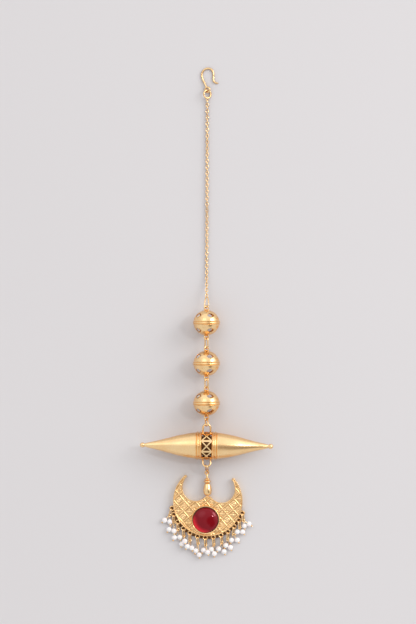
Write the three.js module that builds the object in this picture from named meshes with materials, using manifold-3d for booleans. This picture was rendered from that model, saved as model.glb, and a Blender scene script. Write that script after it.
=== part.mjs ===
// Maang tikka: a bridal forehead jewel, lying on its flat back.
//
// Units are millimetres. +Z is up, +Y runs from the pearl fringe to the hair hook and +X is across.
// The origin is on the resting plane, under the middle of the jewel's length and width.
//
// From top to bottom: hair hook, jump ring, cable chain, three pierced balls, a spindle-shaped cross
// bar hung through its lattice drum, a threaded pear bead, and a crescent with a cabochon and a fringe.

import * as THREE from 'three';
import { mergeVertices } from 'three/addons/utils/BufferGeometryUtils.js';
import Module from 'manifold-3d';

const wasm = await Module();
wasm.setup();

const DEG = Math.PI / 180;

// ---- driving dimensions ----------------------------------------------------------------------

const HOOK = {
  wire: 0.7,
  eye: { centre: [0.15, 86.2, 1.05], radius: 0.95, roll: -28 },
  // Hand-bent wire, from the turned-out tip over the crook to the eye.
  route: [
    [4.22, 88.78, 0.36],
    [3.25, 88.98, 0.36],
    [2.5, 89.8, 0.36],
    [2.45, 92.6, 0.36],
    [1.7, 94.1, 0.36],
    [0.3, 94.52, 0.36],
    [-1.15, 93.9, 0.36],
    [-2.0, 92.3, 0.36],
    [-1.75, 90.5, 0.38],
    [-1.0, 88.9, 0.55],
    [-0.2, 87.05, 0.9],
  ],
};

const HOOK_RING = { wire: 0.6, radius: 1.55, centre: [0.1, 84.5, 1.05], roll: 30 };

const CHAIN = {
  diameter: 1.3,
  steps: 26,
  // From under the hook ring, flat on the resting plane, then up to the first ball's ring.
  route: [
    [0.07, 82.35, 0.67],
    [0.05, 70, 0.67],
    [0, 52, 0.67],
    [-0.06, 34, 0.67],
    [-0.13, 19, 0.67],
    [-0.15, 14.5, 0.75],
    [-0.17, 11, 1.45],
    [-0.18, 8.8, 2.35],
    [-0.19, 6.8, 3.25],
  ],
};

const BALL = {
  equator: 5.02, // shell radius just off the rim seam
  polar: 4.87, // half height along the thread
  wall: 0.45,
  latitudes: [90, 64, 38, 15], // of the facet rows, from the pole down
  // The double seam: two ridges beside a crown, each ridge between a foot and a groove.
  rim: { radius: 5.35, ridge: 0.52, crown: 5.27, foot: 0.22, sink: 0.05, groove: 0.17, depth: 0.2 },
  eye: { radius: 0.84, wire: 0.56, roll: 20, sink: 0.1 },
  window: { count: 5, latitude: 35, azimuth: 23, halfWidth: 1.4, halfHeight: 1.02, blunt: 0.28 },
};
const BALL_X = -0.21;
const BALLS = [
  { y: -3.81, turn: 1 },
  { y: -19.48, turn: -2 },
  { y: -34.8, turn: 0 },
];

const SPINDLE = {
  centre: [-0.2, -51.13],
  lean: -0.67, // degrees about +Z
  halfLength: 25.65,
  wall: 0.55,
  drum: { radius: 5.35, halfWidth: 1.95, cells: 8, bar: 0.52, strut: 0.46, punch: 2, clear: 0.4 },
  finial: 0.98,
  collarRadius: 5.57,
  // [along the axis, how far below the collar's radius] of the two ridges and the waist between them.
  ridges: [[2.05, 0.12], [2.45, 0], [2.9, 0.2], [3.4, 0], [3.95, 0.14]],
  // [along the axis, radius] of the cone and of the hollow inside it.
  cone: [[4.1, 5.1], [7.5, 4.58], [11.2, 3.82], [14.8, 2.85], [18.2, 1.95], [21.5, 1.22], [23.35, 0.8]],
  drumEnd: 4.3,
  hollow: [[11.2, 3.2], [21, 0.7], [22, 0]],
};

// Each hanging ring runs from inside the drum, through the lattice, to the link that it holds.
const SPINDLE_RING = {
  wire: 0.62,
  radius: 1.48,
  upper: { inside: [-0.2, -46.95, 5.6], outside: [-0.05, -42.85, 6.52] },
  lower: { inside: [-0.2, -55.31, 5.6], outside: [-0.1, -59.1, 6.67] },
};
const LINK = { wire: 0.52, radius: 0.74, hug: 0.62, roll: 90 };
const CHAIN_END = { wire: 0.46, radius: 1.2, roll: -47, foot: [-0.15, 6.2, 3.75] };

const CRESCENT = {
  centre: [0.3, -72.85],
  lean: -3.9,
  radius: 13.45,
  field: 1.8, // plate height
  border: { width: 0.45, height: 2.2 },
  lobe: { offset: 5.06, rise: 4.86, radius: 5.02 },
  horn: { radius: 7.5, tip: 0.5, angle: 44.3, foot: 0.25 },
  peak: 1.95, // height of the flat top over the circle's centre
  // Angles, in radians, that the arcs stop short of each other, and how fast an inset thins a tip.
  gaps: { rim: 0.02, tip: 0.3, lobe: 0.1 },
  tipInset: 0.6,
};

const BEZEL = { offset: [-0.35, -7.1], radius: 5.5, wall: 0.35, height: 3.1, base: 0.5 };
const RUBY = {
  radius: 4.95,
  girdle: 0.9,
  dome: 3.1,
  seat: 0.1,
  bevel: 0.15,
  latitudes: [0, 20, 40, 58, 75, 90],
};

const STEM = {
  foot: [0.3, -71.9],
  top: [-0.05, -61.75],
  height: 1.68,
  wire: 0.8,
  eye: { radius: 0.7, wire: 0.5, overlap: 0.1 },
};
// Each outline is [share of the length, share of the radius], from the foot to the top.
const PEAR_BEAD = {
  start: 1.35,
  length: 4.9,
  radius: 1.62,
  bore: 1.2,
  outline: [
    [0, 0.55], [0.08, 0.8], [0.25, 0.98], [0.42, 1], [0.62, 0.93], [0.82, 0.77], [0.95, 0.58], [1, 0.46],
  ],
};
const COLLAR_BEAD = {
  start: 6.3,
  length: 1.9,
  radius: 1.3,
  bore: 1.2,
  outline: [
    [0, 0.6], [0.1, 0.92], [0.26, 1], [0.42, 0.9], [0.5, 0.6], [0.6, 0.66], [0.75, 0.7], [0.9, 0.64],
    [1, 0.5],
  ],
};

const FRINGE = {
  height: 1.1, // of the loops' plane above the resting plane
  loop: { reach: 0.65, radius: 0.78, wire: 0.48 },
  link: { inset: 0.3, length: 2.62, radius: 0.66, wire: 0.34 },
  eye: { radius: 0.46, wire: 0.28, spread: 0.2, nest: 0.03 },
  pin: { wire: 0.3, end: 0.36, overhang: 1.22 },
  pearl: 0.98,
};
// One row for each loop, left to right: its place round the rim (degrees from the bottom), the
// way its link lies and the way each drop lies (degrees from straight down), how far each pearl
// hangs from its eye, and how high a pearl lies on its neighbours.
const STATIONS = [
  { at: -75, link: -18, left: { lie: -47, reach: 2.7 }, right: { lie: 2, reach: 2.4 } },
  { at: -65, link: 0, left: { lie: -32, reach: 3.45 }, right: { lie: 2, reach: 3.45, lift: 0.6 } },
  { at: -51.5, link: 2, left: { lie: -24, reach: 3.4 }, right: { lie: 13, reach: 3.05 } },
  { at: -38, link: 3, left: { lie: -14, reach: 3.15 }, right: { lie: 12, reach: 1.95, lift: 1.25 } },
  { at: -25.5, link: 0, left: { lie: -26, reach: 2.4, lift: 0.8 }, right: { lie: 14, reach: 2.9 } },
  { at: -12.5, link: 4, left: { lie: -17, reach: 2.85 }, right: { lie: 6, reach: 4.3 } },
  { at: 0, link: 2, left: { lie: -24, reach: 2.1 }, right: { lie: 17, reach: 2.75, lift: 1.1 } },
  { at: 12.5, link: 5, left: { lie: -32, reach: 2 }, right: { lie: 2, reach: 3.4 } },
  { at: 25, link: 6, left: { lie: -27, reach: 2.65 }, right: { lie: 15, reach: 3.5 } },
  { at: 37.5, link: -2, left: { lie: -18, reach: 2.5 }, right: { lie: 18, reach: 3.35 } },
  { at: 50, link: -7, left: { lie: -16, reach: 2.45 }, right: { lie: 33, reach: 2.8 } },
  { at: 62.5, link: 6, left: { lie: -32, reach: 1.85, lift: 0.2 }, right: { lie: 34, reach: 1.9 } },
  { at: 75, link: 8, left: { lie: 9, reach: 2.15 }, right: { lie: 57, reach: 2.6 } },
];

const FINISH = {
  gold: { color: 0xd9a24e, metalness: 1, roughness: 0.3 },
  antiqueGold: { color: 0xc9924a, metalness: 1, roughness: 0.42 },
  ruby: { color: 0x8a0a18, metalness: 0, roughness: 0.08 },
  pearl: { color: 0xefe6e0, metalness: 0, roughness: 0.3 },
};

// Facet counts of the turned and bent pieces.
const FACETS = {
  wire: 6,
  ring: 10,
  fine: 5,
  fineRing: 7,
  hook: 30,
  chain: 8,
  ball: 14,
  spindle: 16,
  stone: 20,
  bead: 10,
  post: 8,
  pin: 4,
  pearl: [8, 5],
  pinEnd: [5, 3],
  rim: { outer: 18, tip: 4, horn: 3, lobe: 9 },
};

// ---- solids ----------------------------------------------------------------------------------

function toSolid(geometry) {
  const bare = geometry.clone();
  bare.deleteAttribute('normal');
  bare.deleteAttribute('uv');
  const merged = mergeVertices(bare);
  return new wasm.Manifold(new wasm.Mesh({
    numProp: 3,
    vertProperties: new Float32Array(merged.attributes.position.array),
    triVerts: new Uint32Array(merged.index.array),
  }));
}

function toGeometry(solid) {
  const mesh = solid.getMesh();
  const geometry = new THREE.BufferGeometry();
  geometry.setAttribute('position', new THREE.BufferAttribute(mesh.vertProperties, 3));
  geometry.setIndex(new THREE.BufferAttribute(mesh.triVerts, 1));
  geometry.computeVertexNormals();
  return geometry;
}

const join = (...geometries) => geometries.map(toSolid).reduce((a, b) => a.add(b));
const cut = (solid, cutters) => cutters.map(toSolid).reduce((a, b) => a.subtract(b), solid);

// ---- shapes shared by several pieces ----------------------------------------------------------

const vector = (point) => new THREE.Vector3(...point);

function circlePoints(radius, sides) {
  return Array.from({ length: sides }, (_, i) => {
    const angle = (2 * Math.PI * i) / sides;
    return new THREE.Vector2(radius * Math.cos(angle), radius * Math.sin(angle));
  });
}

// A round wire bent along a smooth route.
function bentWire(route, diameter, steps, sides) {
  const section = new THREE.Shape(circlePoints(diameter / 2, sides));
  const path = new THREE.CatmullRomCurve3(route.map(vector), false, 'centripetal');
  return new THREE.ExtrudeGeometry(section, { steps, extrudePath: path, bevelEnabled: false });
}

// A wire ring in the XY plane, pulled out along Y into a long link when stretch is above zero.
function ring(radius, wire, stretch = 0, sides = FACETS.wire, turns = FACETS.ring) {
  const geometry = new THREE.TorusGeometry(radius, wire / 2, sides, turns);
  geometry.rotateZ(Math.PI / turns);
  const places = geometry.attributes.position;
  for (let i = 0; i < places.count; i += 1) {
    places.setY(i, places.getY(i) + (Math.sign(places.getY(i)) * stretch) / 2);
  }
  return geometry;
}

const rod = (radius, length, sides) => new THREE.CylinderGeometry(radius, radius, length, sides);

// A solid turned about the Y axis from [radius, height] pairs that start and end on the axis.
function turned(profile, segments) {
  return new THREE.LatheGeometry(profile.map(([r, y]) => new THREE.Vector2(r, y)), segments);
}

// A bead turned about the Y axis, whose bore closes its profile.
function boredBead(profile, bore, segments) {
  const [first, last] = [profile[0], profile[profile.length - 1]];
  return turned([[bore / 2, first[1]], ...profile, [bore / 2, last[1]], [bore / 2, first[1]]], segments);
}

// ---- placing ---------------------------------------------------------------------------------

const jewel = new THREE.Group();

function piece(name, geometry, finish) {
  const shape = geometry.isBufferGeometry ? geometry : toGeometry(geometry);
  const mesh = new THREE.Mesh(shape, new THREE.MeshStandardMaterial(FINISH[finish]));
  mesh.name = name;
  return mesh;
}

// Turns an object whose length is its own Y axis so that it runs from one point to the other.
function runBetween(object, from, to, roll = 0) {
  const along = to.clone().sub(from).normalize();
  const swing = new THREE.Quaternion().setFromUnitVectors(new THREE.Vector3(0, 1, 0), along);
  const spin = new THREE.Quaternion().setFromAxisAngle(new THREE.Vector3(0, 1, 0), roll * DEG);
  object.quaternion.copy(swing.multiply(spin));
  return object;
}

// A link whose end wires have their centre lines at the two points.
function linkBetween(name, from, to, size, roll) {
  const stretch = from.distanceTo(to) - 2 * size.radius;
  const geometry = ring(size.radius, size.wire, stretch, size.sides, size.turns);
  const link = runBetween(piece(name, geometry, 'gold'), from, to, roll);
  link.position.copy(from).add(to).multiplyScalar(0.5);
  jewel.add(link);
}

// ---- hook, jump ring and chain ------------------------------------------------------------------

function addHook() {
  const eye = ring(HOOK.eye.radius, HOOK.wire);
  eye.rotateY(HOOK.eye.roll * DEG);
  eye.translate(...HOOK.eye.centre);
  const shank = bentWire(HOOK.route, HOOK.wire, FACETS.hook, FACETS.wire);
  jewel.add(piece('hair_hook', join(shank, eye), 'gold'));
}

function addHookRing() {
  const hookRing = piece('hook_ring', ring(HOOK_RING.radius, HOOK_RING.wire), 'gold');
  hookRing.rotation.y = HOOK_RING.roll * DEG;
  hookRing.position.set(...HOOK_RING.centre);
  jewel.add(hookRing);
}

function addChain() {
  jewel.add(piece('chain', bentWire(CHAIN.route, CHAIN.diameter, CHAIN.steps, FACETS.chain), 'gold'));
}

// ---- pierced balls -------------------------------------------------------------------------------

const ballEyeReach = BALL.polar + BALL.eye.radius - BALL.eye.sink;

// Both half shells in one profile, with the double rim seam between them.
function ballSkin() {
  const half = BALL.latitudes.map((latitude) => [
    BALL.equator * Math.cos(latitude * DEG),
    BALL.polar * Math.sin(latitude * DEG),
  ]);
  half[0][0] = 0;
  const { radius, ridge, crown, foot, sink, groove, depth } = BALL.rim;
  const seam = [[BALL.equator - sink, ridge + foot], [radius, ridge], [radius - depth, ridge - groove]];
  const upper = [...half, ...seam];
  const lower = upper.map(([r, y]) => [r, -y]).reverse();
  return turned([...upper, [crown, 0], ...lower].reverse(), FACETS.ball);
}

function ballHollow() {
  const profile = [-90, -45, 0, 45, 90].map((latitude) => [
    (BALL.equator - BALL.wall) * Math.cos(latitude * DEG),
    (BALL.polar - BALL.wall) * Math.sin(latitude * DEG),
  ]);
  profile[0][0] = 0;
  profile[profile.length - 1][0] = 0;
  return turned(profile, FACETS.ball);
}

// A leaf-shaped punch, wide along the equator, aimed outwards through the shell.
function windowPunch(latitude, azimuth) {
  const { halfWidth: w, halfHeight: h, blunt } = BALL.window;
  const leaf = new THREE.Shape([
    new THREE.Vector2(-w, 0),
    new THREE.Vector2(-blunt * w, -h),
    new THREE.Vector2(blunt * w, -h),
    new THREE.Vector2(w, 0),
    new THREE.Vector2(blunt * w, h),
    new THREE.Vector2(-blunt * w, h),
  ]);
  const punch = new THREE.ExtrudeGeometry(leaf, { depth: BALL.equator, bevelEnabled: false });
  punch.translate(0, 0, BALL.equator / 2);
  punch.rotateX(-latitude * DEG);
  punch.rotateY(azimuth * DEG);
  return punch;
}

function ballWindows() {
  const { count, latitude, azimuth } = BALL.window;
  const turns = Array.from({ length: count }, (_, i) => azimuth + (360 * i) / count);
  return turns.flatMap((turn) => [windowPunch(latitude, turn), windowPunch(-latitude, turn)]);
}

function ballEye(side) {
  const eye = ring(BALL.eye.radius, BALL.eye.wire);
  eye.rotateY(BALL.eye.roll * DEG);
  eye.translate(0, side * ballEyeReach, 0);
  return eye;
}

function addBalls() {
  const shell = cut(toSolid(ballSkin()), [ballHollow(), ...ballWindows()]);
  const shape = toGeometry(shell.add(toSolid(ballEye(1))).add(toSolid(ballEye(-1))));
  BALLS.forEach(({ y, turn }, i) => {
    const ball = piece(`ball_${i + 1}`, shape, 'gold');
    ball.position.set(BALL_X, y, BALL.rim.radius);
    ball.rotation.y = turn * DEG;
    jewel.add(ball);
  });
}

// ---- spindle cross bar ----------------------------------------------------------------------------

// [along the axis, radius] pairs of one half, from the drum outwards.
const spindleHalf = [
  [SPINDLE.drum.halfWidth, SPINDLE.drum.radius],
  ...SPINDLE.ridges.map(([along, drop]) => [along, SPINDLE.collarRadius - drop]),
  ...SPINDLE.cone,
];

function spindleFinial() {
  const r = SPINDLE.finial;
  return [60, 25, -10, -50, -90].map((angle) => [
    SPINDLE.halfLength - r - r * Math.sin(angle * DEG),
    angle === -90 ? 0 : r * Math.cos(angle * DEG),
  ]);
}

// The profile of a solid of revolution from one half of it, as [radius, height] pairs.
const mirrored = (half) => [
  ...half.map(([x, r]) => [r, -x]).reverse(),
  ...half.map(([x, r]) => [r, x]),
];

function spindleSkin() {
  return turned(mirrored([...spindleHalf, ...spindleFinial()]), FACETS.spindle);
}

// One straight-sided hollow through drum and cones.
function spindleHollow() {
  const drum = SPINDLE.drum.radius - SPINDLE.wall;
  return turned(mirrored([[SPINDLE.drumEnd, drum], ...SPINDLE.hollow]), FACETS.spindle);
}

// Triangular punches between the two struts of each lattice cell: one beside each collar and one
// beside each bar, in the flat plane that touches the drum at the middle of the cell.
function latticePunches() {
  const { radius, halfWidth: width, cells, bar, strut, punch: depth, clear } = SPINDLE.drum;
  const halfCell = Math.PI / cells;
  const height = radius * Math.sin(halfCell);
  const diagonal = Math.hypot(width, height);
  const sideTip = (strut / 2) * (diagonal / height);
  const endTip = (strut / 2) * (diagonal / width);
  const sideHalf = (height * (width - sideTip)) / width;
  const endEdge = height - bar / 2;
  const endHalf = (width * (endEdge - endTip)) / height;
  const triangles = [1, -1].flatMap((sign) => [
    [[sign * sideTip, 0], [sign * width, -sideHalf], [sign * width, sideHalf]],
    [[0, sign * endTip], [-endHalf, sign * endEdge], [endHalf, sign * endEdge]],
  ]);
  const punch = (corners, turn) => {
    const outline = new THREE.Shape(corners.map(([x, y]) => new THREE.Vector2(x, y)));
    const solid = new THREE.ExtrudeGeometry(outline, { depth: depth + clear, bevelEnabled: false });
    return solid.translate(0, 0, radius - depth).rotateX(turn);
  };
  const turns = Array.from({ length: cells }, (_, i) => 2 * i * halfCell);
  return turns.flatMap((turn) => triangles.map((corners) => punch(corners, turn)));
}

function addSpindle() {
  const [skin, hollow] = [spindleSkin(), spindleHollow()];
  skin.rotateZ(-Math.PI / 2);
  hollow.rotateZ(-Math.PI / 2);
  const spindle = piece('spindle', cut(toSolid(skin), [hollow, ...latticePunches()]), 'gold');
  spindle.position.set(...SPINDLE.centre, SPINDLE.collarRadius);
  spindle.rotation.z = SPINDLE.lean * DEG;
  jewel.add(spindle);
}

// ---- links between the balls, the spindle and the pendant -------------------------------------------

// Where the outermost wire of a ball's eye runs: side 1 is the eye towards the hook.
function ballEyeTip(index, side) {
  const reach = ballEyeReach + BALL.eye.radius;
  return new THREE.Vector3(BALL_X, BALLS[index].y + side * reach, BALL.rim.radius);
}

// The end of a link that hugs a neighbour's wire at one point and leads to another point.
function hug(wire, away) {
  return wire.clone().addScaledVector(wire.clone().sub(away).normalize(), LINK.hug);
}

function addLinks() {
  const { upper, lower } = SPINDLE_RING;
  const chainEnd = vector(CHAIN_END.foot);
  const stemEye = new THREE.Vector3(...STEM.top, STEM.height);
  stemEye.y += STEM.eye.radius;
  const joined = (name, a, b) => linkBetween(name, hug(a, b), hug(b, a), LINK, LINK.roll);
  linkBetween('chain_end_link', hug(ballEyeTip(0, 1), chainEnd), chainEnd, CHAIN_END, CHAIN_END.roll);
  joined('ball_link_1', ballEyeTip(1, 1), ballEyeTip(0, -1));
  joined('ball_link_2', ballEyeTip(2, 1), ballEyeTip(1, -1));
  joined('spindle_link', vector(upper.outside), ballEyeTip(2, -1));
  joined('pendant_link', stemEye, vector(lower.outside));
  linkBetween('spindle_ring_upper', vector(upper.inside), vector(upper.outside), SPINDLE_RING, 0);
  linkBetween('spindle_ring_lower', vector(lower.outside), vector(lower.inside), SPINDLE_RING, 0);
}

// ---- crescent pendant ----------------------------------------------------------------------------------

// The crescent's outline, drawn in by inset: a round outer edge, two horns with round tips and
// an inner edge of two lobes that meet in a flat-topped peak.
function crescentOutline(inset) {
  const { radius, lobe, horn, peak, gaps, tipInset } = CRESCENT;
  const outer = radius - inset;
  const lobeRadius = lobe.radius + inset;
  const hornRadius = horn.radius + inset;
  const hornX = lobe.offset + lobe.radius - horn.radius;
  const tipReach = radius - horn.tip;
  const tip = [tipReach * Math.sin((90 - horn.angle) * DEG), tipReach * Math.cos((90 - horn.angle) * DEG)];
  const tipRadius = horn.tip - inset * tipInset;
  const peakTop = peak - inset;
  const peakHalf = lobe.offset - Math.sqrt(lobeRadius ** 2 - (lobe.rise - peakTop) ** 2);
  const right = [];
  const arc = (cx, cy, r, from, to, count) => {
    for (let i = 0; i <= count; i += 1) {
      const angle = from + ((to - from) * i) / count;
      right.push(new THREE.Vector2(cx + r * Math.cos(angle), cy + r * Math.sin(angle)));
    }
  };
  const tipAngle = Math.atan2(tip[1], tip[0]);
  arc(0, 0, outer, -Math.PI / 2, tipAngle - gaps.rim, FACETS.rim.outer);
  arc(tip[0], tip[1], tipRadius, tipAngle + gaps.tip, tipAngle + Math.PI - gaps.tip, FACETS.rim.tip);
  const hornEnd = Math.asin((tip[1] - lobe.rise - horn.foot) / hornRadius);
  arc(hornX, lobe.rise, hornRadius, hornEnd, gaps.lobe, FACETS.rim.horn);
  const peakAngle = Math.atan2(peakTop - lobe.rise, peakHalf - lobe.offset);
  arc(lobe.offset, lobe.rise, lobeRadius, 0, peakAngle, FACETS.rim.lobe);
  const left = right.map((p) => new THREE.Vector2(-p.x, p.y)).reverse();
  return new THREE.Shape([...right, ...left.slice(0, -1)]);
}

function slab(shape, from, to) {
  const geometry = new THREE.ExtrudeGeometry(shape, { depth: to - from, bevelEnabled: false });
  return geometry.translate(0, 0, from);
}

function bezelCup() {
  const { radius, wall, height, base } = BEZEL;
  const inside = radius - wall;
  const floor = CRESCENT.field;
  const lip = [[radius, base], [radius, height], [inside, height]];
  const cup = turned([[0, base], ...lip, [inside, floor], [0, floor]], FACETS.stone);
  cup.rotateX(Math.PI / 2);
  return cup.translate(...BEZEL.offset, 0);
}

// Place of a point at the given angle from the bottom and distance from the crescent's centre.
const rimPoint = (degrees, distance) => [
  distance * Math.sin(degrees * DEG),
  -distance * Math.cos(degrees * DEG),
];

function rimLoop(station) {
  const { reach, radius, wire } = FRINGE.loop;
  const loop = ring(radius, wire, 0, FACETS.fine, FACETS.fineRing);
  return loop.translate(...rimPoint(station.at, CRESCENT.radius + reach), FRINGE.height);
}

const stemFoot = new THREE.Vector3(...STEM.foot, STEM.height);
const stemTop = new THREE.Vector3(...STEM.top, STEM.height);

// Wire post from the peak to its eye, along +Y from its foot.
function stem() {
  const reach = stemFoot.distanceTo(stemTop);
  const length = reach - STEM.eye.radius + STEM.eye.overlap;
  const post = rod(STEM.wire / 2, length, FACETS.post);
  post.translate(0, length / 2, 0);
  const eye = ring(STEM.eye.radius, STEM.eye.wire);
  eye.translate(0, reach, 0);
  return join(post, eye);
}

function addCrescent() {
  const { field, border } = CRESCENT;
  const plate = cut(toSolid(slab(crescentOutline(0), 0, border.height)),
    [slab(crescentOutline(border.width), field, border.height + field)]);
  const loops = STATIONS.map(rimLoop);
  const dressed = [bezelCup(), ...loops].map(toSolid).reduce((a, b) => a.add(b), plate);
  const seat = rod(BEZEL.radius - BEZEL.wall, BEZEL.height, FACETS.stone);
  seat.rotateX(Math.PI / 2);
  seat.translate(...BEZEL.offset, field + BEZEL.height / 2);
  const placed = toGeometry(cut(dressed, [seat]));
  placed.rotateZ(CRESCENT.lean * DEG);
  placed.translate(...CRESCENT.centre, 0);
  const post = toGeometry(stem());
  post.applyQuaternion(new THREE.Quaternion().setFromUnitVectors(
    new THREE.Vector3(0, 1, 0), stemTop.clone().sub(stemFoot).normalize()));
  post.translate(...stemFoot.toArray());
  jewel.add(piece('pendant_crescent', join(placed, post), 'antiqueGold'));
}

function addThreadedBead(name, size) {
  const profile = size.outline.map(([share, width]) => [width * size.radius, share * size.length]);
  const bead = piece(name, boredBead(profile, size.bore, FACETS.bead), 'gold');
  runBetween(bead, stemFoot, stemTop);
  const along = stemTop.clone().sub(stemFoot).normalize();
  bead.position.copy(stemFoot).addScaledVector(along, size.start);
  jewel.add(bead);
}

function addBeads() {
  addThreadedBead('pear_bead', PEAR_BEAD);
  addThreadedBead('collar_bead', COLLAR_BEAD);
}

function addRuby() {
  const { radius, girdle, dome, seat, bevel, latitudes } = RUBY;
  const crown = latitudes.map((angle) => [
    angle === 90 ? 0 : radius * Math.cos(angle * DEG),
    girdle + (dome - girdle) * Math.sin(angle * DEG),
  ]);
  const ruby = piece('ruby', turned([[0, 0], [radius - bevel, 0], ...crown], FACETS.stone), 'ruby');
  const centre = new THREE.Vector3(...BEZEL.offset, CRESCENT.field + seat);
  centre.applyAxisAngle(new THREE.Vector3(0, 0, 1), CRESCENT.lean * DEG);
  ruby.position.set(centre.x + CRESCENT.centre[0], centre.y + CRESCENT.centre[1], centre.z);
  ruby.rotation.x = Math.PI / 2;
  jewel.add(ruby);
}

// ---- pearl fringe -----------------------------------------------------------------------------------------

const towards = (degrees) => new THREE.Vector3(Math.sin(degrees * DEG), -Math.cos(degrees * DEG), 0);

// A headpin with its eye at the origin, hanging down -Y through its pearl to a ball end.
function pearlDrop(reach) {
  const { eye, pin, pearl } = FRINGE;
  const end = reach + pin.overhang;
  const start = eye.radius;
  const loop = ring(eye.radius, eye.wire, 0, FACETS.fine, FACETS.fineRing);
  const shank = rod(pin.wire / 2, end - start, FACETS.pin).translate(0, -(start + end) / 2, 0);
  const bead = new THREE.SphereGeometry(pearl, ...FACETS.pearl).translate(0, -reach, 0);
  const tip = new THREE.SphereGeometry(pin.end, ...FACETS.pinEnd).translate(0, -end, 0);
  return join(loop, shank, bead, tip);
}

function loopCentre(station) {
  const place = new THREE.Vector3(...rimPoint(station.at, CRESCENT.radius + FRINGE.loop.reach), 0);
  place.applyAxisAngle(new THREE.Vector3(0, 0, 1), CRESCENT.lean * DEG);
  return place.add(new THREE.Vector3(...CRESCENT.centre, FRINGE.height));
}

function addDrop(number, linkEnd, { lie, reach, lift = 0 }, side) {
  const eye = linkEnd.clone().add(new THREE.Vector3(0, 0, side * FRINGE.eye.spread));
  const pearl = eye.clone().addScaledVector(towards(lie), reach);
  pearl.z = FRINGE.pearl + lift;
  const drop = piece(`pearl_drop_${String(number).padStart(2, '0')}`, pearlDrop(reach), 'pearl');
  runBetween(drop, pearl, eye);
  drop.position.copy(eye);
  jewel.add(drop);
}

function addFringe() {
  const { link } = FRINGE;
  const size = { radius: link.radius, wire: link.wire, sides: FACETS.fine, turns: FACETS.fineRing };
  STATIONS.forEach((station, i) => {
    const from = loopCentre(station).addScaledVector(towards(station.link), link.inset);
    const to = from.clone().addScaledVector(towards(station.link), link.length);
    linkBetween(`fringe_link_${String(i + 1).padStart(2, '0')}`, to, from, size, 90);
    const upper = station.left.lift ? -1 : 1;
    const hang = to.clone().addScaledVector(towards(station.link), -FRINGE.eye.nest);
    addDrop(2 * i + 1, hang, station.left, -upper);
    addDrop(2 * i + 2, hang, station.right, upper);
  });
}

addHook();
addHookRing();
addChain();
addBalls();
addSpindle();
addLinks();
addCrescent();
addBeads();
addRuby();
addFringe();

export default jewel;
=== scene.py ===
"""A maang tikka, a bridal forehead jewel, lying flat on a pale table.

From top to bottom: a hair hook and its jump ring, a cable chain, three pierced balls, a
spindle-shaped cross bar hung through its lattice drum, a collar bead and a pear bead on a stem,
and a crescent with a red cabochon and a fringe of pearls. Everything is in metres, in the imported
frame: +Z is up and +Y runs towards the hook.
"""

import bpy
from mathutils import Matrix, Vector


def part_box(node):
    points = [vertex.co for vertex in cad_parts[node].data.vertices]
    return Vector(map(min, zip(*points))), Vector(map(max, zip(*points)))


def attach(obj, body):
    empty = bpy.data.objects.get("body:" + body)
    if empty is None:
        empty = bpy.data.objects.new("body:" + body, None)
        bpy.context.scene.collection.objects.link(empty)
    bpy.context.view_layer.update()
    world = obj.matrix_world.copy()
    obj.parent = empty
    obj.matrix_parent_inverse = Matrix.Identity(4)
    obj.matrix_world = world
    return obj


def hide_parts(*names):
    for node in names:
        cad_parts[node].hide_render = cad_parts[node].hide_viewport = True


bl_info = {
    "name": "Maang Tikka",
    "version": (1, 0, 0),
    "blender": (4, 5, 0),
    "location": "3D View > Sidebar > Tikka",
    "description": "Builds a gilt forehead jewel: pierced balls, spindle, crescent and pearls",
    "category": "Add Mesh",
}

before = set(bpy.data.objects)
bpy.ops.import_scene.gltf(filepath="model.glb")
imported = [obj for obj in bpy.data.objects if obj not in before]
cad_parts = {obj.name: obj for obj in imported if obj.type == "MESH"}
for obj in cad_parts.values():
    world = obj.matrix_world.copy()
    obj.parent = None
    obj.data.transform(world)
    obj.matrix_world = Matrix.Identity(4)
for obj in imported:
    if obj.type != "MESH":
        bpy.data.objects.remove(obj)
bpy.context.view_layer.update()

import math

import bmesh
import bpy
import numpy as np
from bpy.props import FloatProperty, FloatVectorProperty, IntProperty, PointerProperty
from mathutils import Matrix, Quaternion, Vector

MM = 0.001
BODY = "root"
Y_AXIS, Z_AXIS = Vector((0, 1, 0)), Vector((0, 0, 1))


def mm(*values):
    """A point or an offset that is given in millimetres."""
    return Vector(values) * MM


def middle(node):
    """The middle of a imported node's box."""
    low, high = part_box(node)
    return (low + high) / 2


def in_metres(rows):
    """(radius, height) rows that are given in millimetres."""
    return [(radius * MM, height * MM) for radius, height in rows]


# ---- sizes and colours that a user would change ------------------------------


def length(name, description, millimetres):
    return FloatProperty(
        name=name,
        description=description,
        default=millimetres * MM,
        min=0,
        unit="LENGTH",
        precision=5,
    )


def share(name, description, default):
    return FloatProperty(
        name=name, description=description, default=default, min=0, max=1, subtype="FACTOR"
    )


def colour(name, description, rgb):
    return FloatVectorProperty(
        name=name, description=description, default=rgb, size=3, min=0, max=1, subtype="COLOR"
    )


class HookSettings(bpy.types.PropertyGroup):
    wire: length("Hook wire", "Diameter of the hook's wire", 0.7)
    eye: length("Eye radius", "Centre-line radius of the eye at the foot of the hook", 0.95)
    ring_wire: length("Ring wire", "Diameter of the jump ring's wire", 0.6)
    ring: length("Ring radius", "Centre-line radius of the jump ring", 1.55)


class ChainSettings(bpy.types.PropertyGroup):
    pitch: length("Pitch", "Distance from one link's middle to the next one's", 1.2)
    link_width: length("Link width", "Outer width of one link", 1.27)
    wire: length("Wire", "Diameter of the chain's wire", 0.33)
    end_wire: length("End ring wire", "Diameter of the wire of the ring at the lower end", 0.46)
    end_radius: length("End ring radius", "Centre-line radius of the wide end of that ring", 1.2)


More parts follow.
